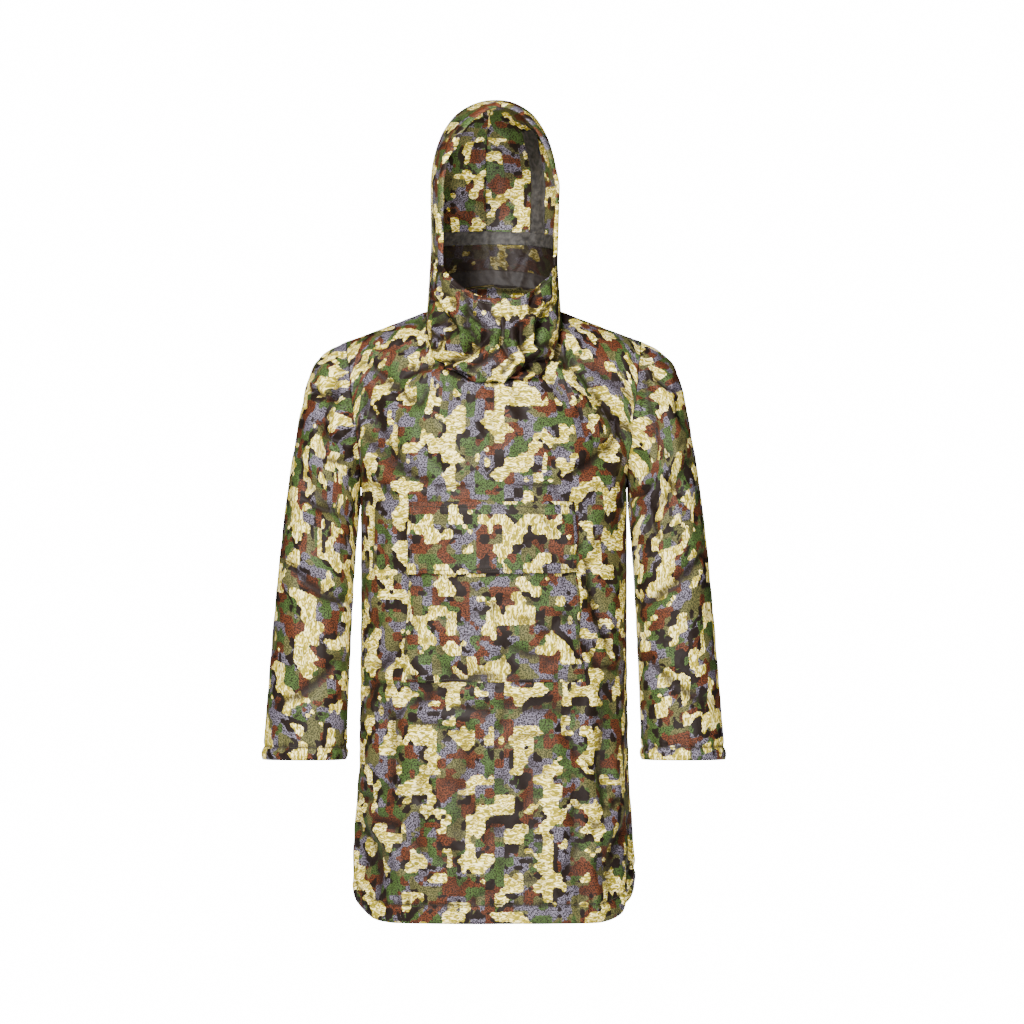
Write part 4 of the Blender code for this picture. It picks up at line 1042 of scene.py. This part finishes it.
def coated_polyester(colours):
    """Light woven polyester with a coated inside, printed in blots: semi-matt, with a soft sheen on its
    folds. Dents run along the lines of stitches, and painted shade darkens the dents, the creases and the
    nape."""
    made, tree, shader = new_material("coated_printed_polyester")
    flat = add(tree, "UVMap", uv_map="cloth").outputs[0]
    colour = print_colour(tree, flat, colours)
    sewn = add(tree, "SeparateXYZ", add(tree, "UVMap", uv_map="sewn"))
    # The dents are drawn as bumps and, below, darkened in colour as painted shade
    # Dents of about 2 mm along the stitches and the seams
    lines = []
    for place, half_width in ((sewn.outputs[0], 0.0011), (sewn.outputs[1], 0.0012)):
        away = add(tree, "Math", place, operation="ABSOLUTE")
        lines.append(add(tree, "MapRange", away, 0.0, half_width, 1.0, 0.0, interpolation_type="SMOOTHSTEP"))
    line = add(tree, "Math", *lines, operation="MAXIMUM")
    # Painted shade: the colour darkens in the dents along the stitches and seams, and in the creases and
    # hollows
    painted_crease_shade = add(tree, "SeparateXYZ", add(tree, "UVMap", uv_map="creased"))
    for dark, strength in ((line, 0.55), (painted_crease_shade, 0.90)):
        dark = add(tree, "Math", dark, strength, operation="MULTIPLY")
        colour = add(tree, "Mix", dark, colour, colours.dark, data_type="RGBA")
    # Crumple of about 24 mm, puckers of about 8 mm within 14 mm of the stitches, and the weave's ribs. Real
    # ribs are under 0.5 mm apart, too fine to show, so they are drawn 1.7 mm apart, and very shallow
    crumple = add(
        tree, "TexNoise", Vector=flat, Scale=42.0, Detail=3.0, Roughness=0.55, Distortion=0.8,
        noise_dimensions="2D",
    )
    across_line = add(tree, "VectorMath", flat, (1.0, 0.25, 1.0), operation="MULTIPLY")
    pucker = add(tree, "TexNoise", Vector=across_line, Scale=120.0, Detail=1.0, noise_dimensions="2D")
    near = add(tree, "Math", sewn.outputs[0], operation="ABSOLUTE")
    near = add(tree, "MapRange", near, 0.0, 0.014, 1.0, 0.0)
    puckers = add(tree, "Math", pucker, near, operation="MULTIPLY")
    weave = add(tree, "TexWave", Vector=flat, Scale=260.0, Distortion=0.3, bands_direction="DIAGONAL")
    bump = add(tree, "Bump", Strength=0.40, Distance=0.004, Height=crumple)
    bump = add(tree, "Bump", Strength=0.60, Distance=0.003, Height=puckers, Normal=bump)
    bump = add(tree, "Bump", Strength=0.70, Distance=0.0010, Height=line, Normal=bump, invert=True)
    bump = add(tree, "Bump", Strength=0.10, Distance=0.0004, Height=weave.outputs[1], Normal=bump)
    wire(shader, Base_Color=colour, Roughness=0.55, Specular_IOR_Level=0.10, Normal=bump)
    return made


def seam_tape(colours):
    """Heat-bonded polyurethane tape: thin and grey, smooth enough to catch the light in soft patches."""
    made, tree, shader = new_material("polyurethane_seam_tape")
    flat = add(tree, "UVMap", uv_map="cloth").outputs[0]
    # Patches of about 8 mm
    cloud = add(tree, "TexNoise", Vector=flat, Scale=130.0, Detail=5.0, noise_dimensions="2D")
    cloudy = add(tree, "MapRange", cloud, 0.35, 0.65, 0.0, 1.0)
    colour = add(tree, "Mix", cloudy, colours.tape_dark, colours.tape, data_type="RGBA")
    # Painted shade on the neck tape, where the inside of the nape is painted dark
    painted_nape_shade = add(tree, "SeparateXYZ", add(tree, "UVMap", uv_map="creased"))
    painted_nape_shade = add(tree, "Math", painted_nape_shade, 0.75, operation="MULTIPLY")
    colour = add(tree, "Mix", painted_nape_shade, colour, colours.dark, data_type="RGBA")
    bump = add(tree, "Bump", Strength=0.35, Distance=0.001, Height=cloud)
    wire(shader, Base_Color=colour, Roughness=0.60, Specular_IOR_Level=0.15, Normal=bump)
    return made


def sewing_thread(colours):
    """Spun polyester sewing thread: matt, with darker gaps about 1 mm apart between its twisted plies."""
    made, tree, shader = new_material("polyester_sewing_thread")
    place = add(tree, "TexCoord").outputs["Object"]
    twist = add(tree, "TexNoise", Vector=place, Scale=900.0, Detail=1.0)
    colour = add(tree, "Mix", twist, colours.thread_dark, colours.thread, data_type="RGBA")
    wire(shader, Base_Color=colour, Roughness=0.7)
    return made


# --------------------------------------------------------------------------------------- making pieces

MADE = {}  # what several operators share: the shell, and the materials
LAID = {}  # the nets of the pieces laid on the front, for their stitches


def shell():
    if "shell" not in MADE:
        MADE["shell"] = Shell()
    return MADE["shell"]


def shared_material(make):
    if make.__name__ not in MADE:
        MADE[make.__name__] = make(bpy.context.scene.rain_poncho_finish)
    return MADE[make.__name__]


def put(name, data):
    """A new object, linked to the scene."""
    made = bpy.data.objects.new(name, data)
    bpy.context.scene.collection.objects.link(made)
    return made


def cloth_object(name, net, maps, ring, material):
    """A thin closed shell with its outside on the net, and with UV maps in metres."""
    rows, columns = net.shape[:2]
    ids = np.arange(rows * columns).reshape(rows, columns)
    if ring:
        ids = np.concatenate([ids, ids[:, :1]], axis=1)
    quads = cells(ids).reshape(-1, 4)
    mesh = bpy.data.meshes.new(name)
    mesh.from_pydata(net.reshape(-1, 3).tolist(), [], quads.tolist())
    for label, flat in maps.items():
        corners = cells(np.stack(np.broadcast_arrays(*flat), axis=-1), axis=2)
        mesh.uv_layers.new(name=label).uv.foreach_set("vector", corners.astype(np.float32).ravel())
    mesh.shade_smooth()
    mesh.materials.append(material)
    made = put(name, mesh)
    wall = made.modifiers.new("thickness", "SOLIDIFY")
    wall.thickness = bpy.context.scene.rain_poncho_cloth.thickness
    wall.offset = -1.0
    wall.use_even_offset = False
    bpy.ops.object.select_all(action="DESELECT")
    bpy.context.view_layer.objects.active = made
    made.select_set(True)
    bpy.ops.object.modifier_apply(modifier=wall.name)
    # The wall's inside comes second, and reads its own painted shade from the second number of the map
    layer = made.data.uv_layers["creased"].uv
    places = np.empty(2 * len(layer), np.float32)
    layer.foreach_get("vector", places)
    inner = places[8 * len(quads) : 16 * len(quads)]
    inner[::2] = inner[1::2]
    layer.foreach_set("vector", places)
    return made


def dress(made, node=None):
    """Attaches a cloth piece to its body, and hides the CAD node that it stands for."""
    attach(made, "root")
    if node:
        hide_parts(node)


def printed(node, across, up):
    """Places on the printed cloth. The sleeves and the pocket are cut across it."""
    shift = PRINT_SHIFT[node]
    if node.startswith(("sleeve", "pocket")):
        across, up = up, -across
    return across + shift[0], up + shift[1]


def shell_piece(node, name):
    """A piece of the welded shell, cut out of it."""
    net = shell()
    piece = net.pieces[node]
    across, up = piece.flat()
    hollow = piece.closed(net.hollow[piece.ids])
    maps = {
        "cloth": printed(node, across, up),
        "sewn": piece.sewn(),
        "creased": (hollow[..., 0], hollow[..., 1]),
    }
    made = cloth_object(name, net.points[piece.ids], maps, piece.ring, shared_material(coated_polyester))
    dress(made, node)


def patch(front_base, z_low, z_high, rows):
    """Fractional rows and columns of the front panel under a patch between two heights."""
    heights = front_base[: SKIRT_ROWS + 30, PANEL_COLUMNS // 2, 2]
    low, high = np.interp((z_low, z_high), heights, np.arange(len(heights)))
    at_row = np.linspace(low, high, rows + 1)
    whole = np.arange(PANEL_COLUMNS + 1.0)
    at_column = []
    for row in at_row:
        line = sample(front_base, np.full_like(whole, row), np.minimum(whole, PANEL_COLUMNS - 1e-9))
        z = np.interp(row, np.arange(len(heights)), heights)
        ends = [float(read(POCKET_SIDES, "z", name, z)) for name in ("left", "right")]
        start, end = np.interp(ends, line[:, 0], whole)
        at_column.append(np.linspace(start, end, PATCH_COLUMNS + 1))
    return np.repeat(at_row[:, None], PATCH_COLUMNS + 1, axis=1), np.array(at_column)


def laid_piece(node, name, z_low, z_high, rows, lift, lines):
    """A piece that lies on the front panel. lift gives its height above the panel from across and up, and
    lines its distances from lines of stitches from those to its left, right, lower and upper edges."""
    net = shell()
    front = net.pieces["front"]
    at = patch(front.base, z_low, z_high, rows)
    hollow = sample(net.hollow[front.ids], *at)
    out = unit(sample(net.normals()[front.ids], *at))
    across, up = np.moveaxis(sample(np.stack(front.flat(), axis=-1), *at), -1, 0)
    shares = (np.linspace(0.0, 1.0, steps + 1) for steps in (rows, PATCH_COLUMNS))
    up_share, across_share = np.meshgrid(*shares, indexing="ij")
    grid = sample(net.points[front.ids], *at) + out * lift(across_share, up_share)[..., None]
    wide, tall = across - across[:, :1], up - up[:1]
    maps = {
        "cloth": printed(node, across, up),
        "sewn": lines(wide, wide[:, -1:] - wide, tall, tall[-1:] - tall),
        "creased": (hollow[..., 0], hollow[..., 1]),
    }
    made = cloth_object(name, grid, maps, False, shared_material(coated_polyester))
    dress(made, node)
    LAID[node] = (grid, out)


def inside_tape(node, name, edges):
    """A tape bonded inside the neck band and hood, round the back, between two edges."""
    net = shell()
    band, left, right = (net.pieces[key].ids for key in ("collar", "hood_left", "hood_right"))
    hood = np.concatenate([left, right[:, 1:]], axis=1)
    columns = (BAND_COLUMNS // 2 + RIM_COLUMN + np.arange(hood.shape[1])) % BAND_COLUMNS
    ids = np.concatenate([band[:, columns], hood[1:]], axis=0)
    reach = int(TAPE_BEARING * BAND_COLUMNS / 360.0) - RIM_COLUMN
    ids = ids[:, reach : ids.shape[1] - reach]
    line, out = net.points[ids], net.normals()[ids]
    far = run(line, 0)
    far -= far[COLLAR_ROWS]
    grid = []
    for column in range(ids.shape[1]):
        low, high = (far[0, column] * share + height for share, height in edges)
        at = np.interp(np.linspace(low, high, TAPE_ROWS + 1), far[:, column], np.arange(len(far)))
        whole = np.minimum(np.full_like(at, column), ids.shape[1] - 1 - 1e-9)
        grid.append(sample(line, at, whole) - unit(sample(out, at, whole)) * TAPE_GAP)
    grid = np.array(grid).transpose(1, 0, 2)
    # The neck tape takes the painted shade of the nape from the neck band's middle row
    painted_nape_shade = np.repeat(net.hollow[ids][COLLAR_ROWS // 2][None, :, 1], TAPE_ROWS + 1, axis=0)
    painted_nape_shade = painted_nape_shade * (node == "neck_tape")
    wide, tall = run(grid, 1), run(grid, 0)
    maps = {"cloth": (wide, tall), "creased": (painted_nape_shade, painted_nape_shade)}
    dress(cloth_object(name, grid, maps, False, shared_material(seam_tape)), node)


def upright_tape(name):
    """A tape up the inside of the hood's left half, at a bearing round the neck."""
    net = shell()
    piece = net.pieces["hood_left"]
    line, out = net.points[piece.ids], net.normals()[piece.ids]
    whole = np.arange(line.shape[1], dtype=float)
    start = RIM_COLUMN * 360.0 / BAND_COLUMNS
    middle = (UPRIGHT_BEARING - start) / (180.0 - start) * whole[-1]
    rows = np.linspace(*UPRIGHT_SPAN, UPRIGHT_ROWS + 1) * (len(line) - 1)
    at_row, side = np.meshgrid(rows, np.linspace(-1.0, 1.0, UPRIGHT_COLUMNS + 1), indexing="ij")
    across = piece.from_edges()[2]
    at_column = []
    for row, sides in zip(rows.astype(int), side):
        centre = np.interp(middle, whole, across[row])
        at_column.append(np.interp(centre + UPRIGHT_HALF_WIDTH * sides, across[row], whole))
    at_column = np.minimum(np.array(at_column), whole[-1] - 1e-9)
    grid = sample(line, at_row, at_column) - unit(sample(out, at_row, at_column)) * UPRIGHT_GAP
    wide, tall = UPRIGHT_HALF_WIDTH * (side + 1.0), run(grid, 0)
    maps = {"cloth": (wide, tall), "creased": (0.0 * tall, 0.0 * tall)}
    dress(cloth_object(name, grid, maps, False, shared_material(seam_tape)))


def stitch_row(line, out):
    """Places and directions of the stitches along a line of points on the cloth."""
    pitch = bpy.context.scene.rain_poncho_cloth.stitch
    far = run(line, 0)
    at = np.arange(0.5 * pitch, far[-1], pitch)
    place, ahead, up = (
        np.stack([np.interp(spots, far, values[:, k]) for k in range(3)], axis=-1)
        for spots, values in ((at, line), (at + 0.3 * pitch, line), (at, out))
    )
    return place + unit(up) * STITCH_RADIUS, unit(ahead - place), unit(up)


def zero_line(net, normals, values):
    """The line where values, which rise along each column, pass zero."""
    line, out = [], []
    for column in range(values.shape[1]):
        rising = values[:, column]
        order = np.argsort(rising)
        row = np.interp(0.0, rising[order], order.astype(float))
        low = int(np.clip(np.floor(row), 0, len(rising) - 2))
        share = row - low
        line.append(net[low, column] * (1 - share) + net[low + 1, column] * share)
        out.append(normals[low, column] * (1 - share) + normals[low + 1, column] * share)
    return np.array(line), unit(np.array(out))


def edge_rows(grid, out, inset, top):
    """Lines inside the left, lower and right edges of a laid net, and under its upper edge."""
    wide = np.linalg.norm(grid[0, -1] - grid[0, 0])
    tall = np.linalg.norm(grid[-1, 0] - grid[0, 0])
    rows, columns = grid.shape[0] - 1, grid.shape[1] - 1
    aside, low = inset / wide * columns, inset / tall * rows
    line = [(row, aside) for row in np.linspace(rows, low, STITCHED_POINTS)]
    line += [(low, column) for column in np.linspace(aside, columns - aside, STITCHED_POINTS)[1:-1]]
    line += [(row, columns - aside) for row in np.linspace(low, rows, STITCHED_POINTS)]
    found = [line]
    if top:
        row = rows - top / tall * rows
        found.append([(row, column) for column in np.linspace(0.0, columns, STITCHED_POINTS)])
    both = []
    for line in found:
        row, column = np.minimum(np.array(line).T, np.array([[rows - 1e-9], [columns - 1e-9]]))
        both.append((sample(grid, row, column), unit(sample(out, row, column))))
    return both


def stitching(name, rows):
    """One mesh of short thread stitches: a stitch is modelled once, then copied along the rows."""
    length = STITCH_HALF * bpy.context.scene.rain_poncho_cloth.stitch
    bpy.ops.object.select_all(action="DESELECT")
    bpy.ops.mesh.primitive_uv_sphere_add(segments=6, ring_count=4, radius=1.0)
    one = bpy.context.active_object
    bpy.ops.object.mode_set(mode="EDIT")
    bpy.ops.mesh.select_all(action="SELECT")
    bpy.ops.transform.resize(value=(STITCH_RADIUS, STITCH_RADIUS * STITCH_FLATNESS, length))
    bpy.ops.object.mode_set(mode="OBJECT")
    shape = np.array([vertex.co[:] for vertex in one.data.vertices])
    faces = [list(polygon.vertices) for polygon in one.data.polygons]
    bpy.data.objects.remove(one)
    points_of, faces_of = [], []
    for place, along, up in (stitch_row(*row) for row in rows):
        aside = np.cross(up, along)
        for k in range(len(place)):
            faces_of += [[index + len(points_of) * len(shape) for index in face] for face in faces]
            points_of.append(place[k] + shape @ np.array((aside[k], up[k], along[k])))
    mesh = bpy.data.meshes.new(name)
    mesh.from_pydata(np.concatenate(points_of).tolist(), [], faces_of)
    mesh.shade_smooth()
    mesh.materials.append(shared_material(sewing_thread))
    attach(put(name, mesh), "root")


# ------------------------------------------------------------------------------------------ the add-on


def metres(name, description, default):
    return bpy.props.FloatProperty(name=name, description=description, default=default, unit="LENGTH")


def colour(name, description, default):
    return bpy.props.FloatVectorProperty(
        name=name, description=description, default=linear(default), subtype="COLOR", size=4
    )


class PonchoCloth(bpy.types.PropertyGroup):
    """Sizes of the cloth and of its sewing"""

    thickness: metres("Cloth thickness", "Wall of the cloth shells", 0.0008)
    stitch: metres("Stitch length", "Length of one lock stitch", 0.0030)


class PonchoFinish(bpy.types.PropertyGroup):
    """Colours and scale of the print, the tape and the thread"""

    step: metres("Print step", "Width of one step of a blot's outline", 0.0075)
    cream: colour("Cream", "Ground of the pale blots", "DDC042")
    ochre: colour("Ochre", "Streaks on the cream", "7E731F")
    pale: colour("Pale cream", "Light streaks on the cream", "FFEFA8")
    grey: colour("Purple grey", "Grey blots", "1E1A1C")
    grey_fleck: colour("Grey flecks", "Light flecks on the grey", "645E6A")
    rust: colour("Rust", "Rust-brown blots", "562D1B")
    rust_fleck: colour("Rust flecks", "Dark flecks on the rust", "22150D")
    green: colour("Green", "Green blots", "394C25")
    green_fleck: colour("Green flecks", "Dark flecks on the green", "1C190E")
    olive: colour("Olive", "Ground of the print", "2B2D17")
    olive_fleck: colour("Olive flecks", "Flecks on the olive ground", "575331")
    # Near black is also the colour that the painted shade darkens towards
    dark: colour("Near black", "Darkest brown of the print", "17100D")
    tape: colour("Tape", "Seam tape", "383532")
    tape_dark: colour("Tape shade", "Darker patches of the tape", "22201E")
    thread: colour("Thread", "Sewing thread", "4A4636")
    thread_dark: colour("Thread shade", "Shade between the plies", "26241C")


class PonchoStage(bpy.types.PropertyGroup):
    """Floor and camera"""

    floor_z: metres("Floor height", "Floor under the wearer", -1.50)
    distance: metres("Camera distance", "From the camera to the neck", 14.0)
    view_width: metres("View width", "Width of the view at the neck", 1.587)
    view_x: metres("View middle, across", "Middle of the view", 0.028)
    view_z: metres("View middle, up", "Middle of the view", -0.290)


class RAINPONCHO_OT_panels(bpy.types.Operator):
    """Make the front and back panels"""

    bl_idname = "rain_poncho.panels"
    bl_label = "Front and back panels"

    def execute(self, context):
        shell_piece("front", "front_panel")
        shell_piece("back", "back_panel")
        return {"FINISHED"}


class RAINPONCHO_OT_sleeves(bpy.types.Operator):
    """Make both sleeves"""

    bl_idname = "rain_poncho.sleeves"
    bl_label = "Sleeves"

    def execute(self, context):
        shell_piece("sleeve_left", "left_sleeve")
        shell_piece("sleeve_right", "right_sleeve")
        return {"FINISHED"}


class RAINPONCHO_OT_hood(bpy.types.Operator):
    """Make the neck band and both halves of the hood"""

    bl_idname = "rain_poncho.hood"
    bl_label = "Neck band and hood"

    def execute(self, context):
        shell_piece("collar", "neck_band")
        shell_piece("hood_left", "hood_left_half")
        shell_piece("hood_right", "hood_right_half")
        return {"FINISHED"}


class RAINPONCHO_OT_pocket(bpy.types.Operator):
    """Make the pouch pocket and its flap"""

    bl_idname = "rain_poncho.pocket"
    bl_label = "Pocket and flap"

    def execute(self, context):
        def pouch_lift(across, up):
            tall = POCKET_TOP - POCKET_BOTTOM
            edge = np.minimum(np.minimum(across, 1 - across) * POCKET_WIDTH, up * tall)
            return POCKET_GAP + POCKET_PUFF * smooth(edge / PUFF_REACH)

        def flap_lift(across, up):
            droop = 1.0 - up
            return FLAP_GAP + FLAP_STEP * smooth(droop / FLAP_STEP_SHARE) + FLAP_FLARE * droop**2

        def pouch_lines(left, right, low, high):
            return np.minimum(np.minimum(left, right), low) - POCKET_INSET, FAR_OFF + 0 * high

        def flap_lines(left, right, low, high):
            return np.minimum(np.minimum(left, right), low) - FLAP_INSET, high - FLAP_TOP_INSET

        laid_piece("pocket", "pouch_pocket", POCKET_BOTTOM, POCKET_TOP, POUCH_ROWS, pouch_lift, pouch_lines)
        laid_piece("pocket_flap", "pouch_flap", FLAP_BOTTOM, FLAP_TOP, FLAP_ROWS, flap_lift, flap_lines)
        return {"FINISHED"}


class RAINPONCHO_OT_tapes(bpy.types.Operator):
    """Make the seam tapes inside the hood and the neck band"""

    bl_idname = "rain_poncho.tapes"
    bl_label = "Seam tapes"

    def execute(self, context):
        inside_tape("hood_tape", "hood_seam_tape", HOOD_TAPE_EDGES)
        inside_tape("neck_tape", "neck_seam_tape", NECK_TAPE_EDGES)
        upright_tape("hood_upright_tape")
        return {"FINISHED"}


class RAINPONCHO_OT_stitches(bpy.types.Operator):
    """Sew the hems, the cuffs, the hood's rim and the pocket"""

    bl_idname = "rain_poncho.stitches"
    bl_label = "Stitching"

    def execute(self, context):
        net = shell()
        normals = net.normals()

        def line(name, columns=slice(None), across=False):
            piece = net.pieces[name]
            ids, edge = piece.closed(piece.ids)[:, columns], piece.sewn()[0][:, columns]
            if across:
                ids, edge = ids.T, edge.T
            return zero_line(net.points[ids], normals[ids], edge)

        stitching("hem_stitches", [line(name) for name in ("front", "back", "sleeve_left", "sleeve_right")])
        # The free columns of the neck band, in one run from one end of the rim to the other
        free = np.flatnonzero(net.pieces["collar"].sewn()[0][-1] < 0.0)
        gap = np.flatnonzero(np.diff(free) > 1)
        free = np.roll(free, -(gap[0] + 1)) if len(gap) else free
        rim = [line(name, across=True) for name in ("hood_left", "hood_right")]
        stitching("hood_stitches", [*rim, line("collar", free)])
        pouch = edge_rows(*LAID["pocket"], POCKET_INSET, 0.0)
        stitching("pocket_stitches", pouch + edge_rows(*LAID["pocket_flap"], FLAP_INSET, FLAP_TOP_INSET))
        return {"FINISHED"}


# The stage. Lamps: where each stands, what it is aimed at, its size across and its watts
BACKDROP = 16.0  # brightness of the white backdrop
SKY = 0.22
FLOOR_SIZE = 60.0
FLOOR_FADE = (0.8, 2.4)  # where the floor starts to fade into the backdrop, and where it has faded
Lamp = namedtuple("Lamp", "name place target size power")
LAMPS = (
    Lamp("key", (-0.9, -2.7, 1.5), (0.0, 0.0, -0.30), 0.6, 358.0),
    Lamp("fill", (1.2, -3.7, -0.4), (0.0, 0.0, -0.40), 1.0, 165.0),
    Lamp("back", (-0.3, 3.7, -0.1), (0.0, 0.0, -0.35), 0.9, 190.0),
)
HOOD_LAMP = Lamp("hood", (-0.3, -4.0, -0.55), (-0.01, 0.1, 0.272), 0.15, 1850.0)
HOOD_LAMP_ANGLE = 3.6
HOOD_LAMP_BLEND = 0.7


def aimed(name, data, place, target):
    """A lamp's object, turned to its target."""
    holder = put(name, data)
    holder.location = place
    holder.rotation_mode = "QUATERNION"
    holder.rotation_quaternion = (mathutils.Vector(target) - holder.location).to_track_quat("-Z", "Y")


def studio_floor(z):
    """A painted floor, near white and quite matt, that glows into the backdrop away from the middle."""
    bpy.ops.object.select_all(action="DESELECT")
    bpy.ops.mesh.primitive_plane_add(size=FLOOR_SIZE, location=(0.0, 0.0, z))
    floor = bpy.context.active_object
    floor.name = "studio_floor"
    made, tree, shader = new_material("painted_studio_floor")
    wire(shader, Base_Color=linear("F4F3F0"), Roughness=0.9)
    place = add(tree, "TexCoord").outputs["Object"]
    away = add(tree, "VectorMath", place, operation="LENGTH").outputs["Value"]
    far = add(tree, "MapRange", away, *FLOOR_FADE, 0.0, 1.0, interpolation_type="SMOOTHSTEP")
    glow = add(tree, "Emission", Color=(1.0, 1.0, 1.0, 1.0), Strength=BACKDROP)
    seen = add(tree, "LightPath").outputs["Is Camera Ray"]
    shown = add(tree, "Math", far, seen, operation="MULTIPLY")
    wire(tree.nodes["Material Output"], add(tree, "MixShader", shown, shader, glow))
    floor.data.materials.append(made)


def studio_backdrop():
    """A world that is a weak sky for the light, and a bright backdrop for the camera."""
    world = bpy.data.worlds.new("studio")
    world.use_nodes = True
    tree = world.node_tree
    dim = wire(tree.nodes["Background"], Strength=SKY)
    bright = add(tree, "Background", Color=(1.0, 1.0, 1.0, 1.0), Strength=BACKDROP)
    seen = add(tree, "LightPath").outputs["Is Camera Ray"]
    wire(tree.nodes["World Output"], add(tree, "MixShader", seen, dim, bright))
    bpy.context.scene.world = world


class RAINPONCHO_OT_stage(bpy.types.Operator):
    """Set the floor, the soft studio light and the camera"""

    bl_idname = "rain_poncho.stage"
    bl_label = "Stage"

    def execute(self, context):
        settings = context.scene.rain_poncho_stage
        studio_floor(settings.floor_z)
        studio_backdrop()
        for name, place, target, size, power in LAMPS:
            light = bpy.data.lights.new(name, "AREA")
            light.size = size
            light.energy = power
            aimed(name, light, place, target)
        light = bpy.data.lights.new(HOOD_LAMP.name, "SPOT")
        light.energy = HOOD_LAMP.power
        light.spot_size = np.radians(HOOD_LAMP_ANGLE)
        light.spot_blend = HOOD_LAMP_BLEND
        light.shadow_soft_size = HOOD_LAMP.size
        aimed(HOOD_LAMP.name, light, HOOD_LAMP.place, HOOD_LAMP.target)
        camera = bpy.data.cameras.new("camera")
        camera.lens = camera.sensor_width * settings.distance / settings.view_width
        camera.clip_end = 200.0
        holder = put("camera", camera)
        holder.location = (settings.view_x, -settings.distance, settings.view_z)
        holder.rotation_euler = (np.pi / 2, 0.0, 0.0)
        context.scene.camera = holder
        return {"FINISHED"}


class RAINPONCHO_PT_panel(bpy.types.Panel):
    """Lists the steps that dress the poncho"""

    bl_idname = "RAINPONCHO_PT_panel"
    bl_label = "Rain Poncho"
    bl_space_type = "VIEW_3D"
    bl_region_type = "UI"
    bl_category = "Rain Poncho"

    def draw(self, context):
        for settings in (context.scene.rain_poncho_cloth, context.scene.rain_poncho_finish):
            for name in settings.bl_rna.properties.keys():
                if name not in ("rna_type", "name"):
                    self.layout.prop(settings, name)
        for step in STEPS:
            self.layout.operator(step.bl_idname)


SETTINGS = (("cloth", PonchoCloth), ("finish", PonchoFinish), ("stage", PonchoStage))
STEPS = (
    RAINPONCHO_OT_panels,
    RAINPONCHO_OT_sleeves,
    RAINPONCHO_OT_hood,
    RAINPONCHO_OT_pocket,
    RAINPONCHO_OT_tapes,
    RAINPONCHO_OT_stitches,
    RAINPONCHO_OT_stage,
)


def register():
    for name, group in SETTINGS:
        bpy.utils.register_class(group)
        setattr(bpy.types.Scene, "rain_poncho_" + name, bpy.props.PointerProperty(type=group))
    for item in (*STEPS, RAINPONCHO_PT_panel):
        bpy.utils.register_class(item)


def unregister():
    for item in (RAINPONCHO_PT_panel, *STEPS[::-1]):
        bpy.utils.unregister_class(item)
    for name, group in SETTINGS[::-1]:
        delattr(bpy.types.Scene, "rain_poncho_" + name)
        bpy.utils.unregister_class(group)


def main():
    register()
    bpy.ops.rain_poncho.panels()
    bpy.ops.rain_poncho.sleeves()
    bpy.ops.rain_poncho.hood()
    bpy.ops.rain_poncho.pocket()
    bpy.ops.rain_poncho.tapes()
    bpy.ops.rain_poncho.stitches()
    bpy.ops.rain_poncho.stage()


if __name__ == "__main__":
    main()
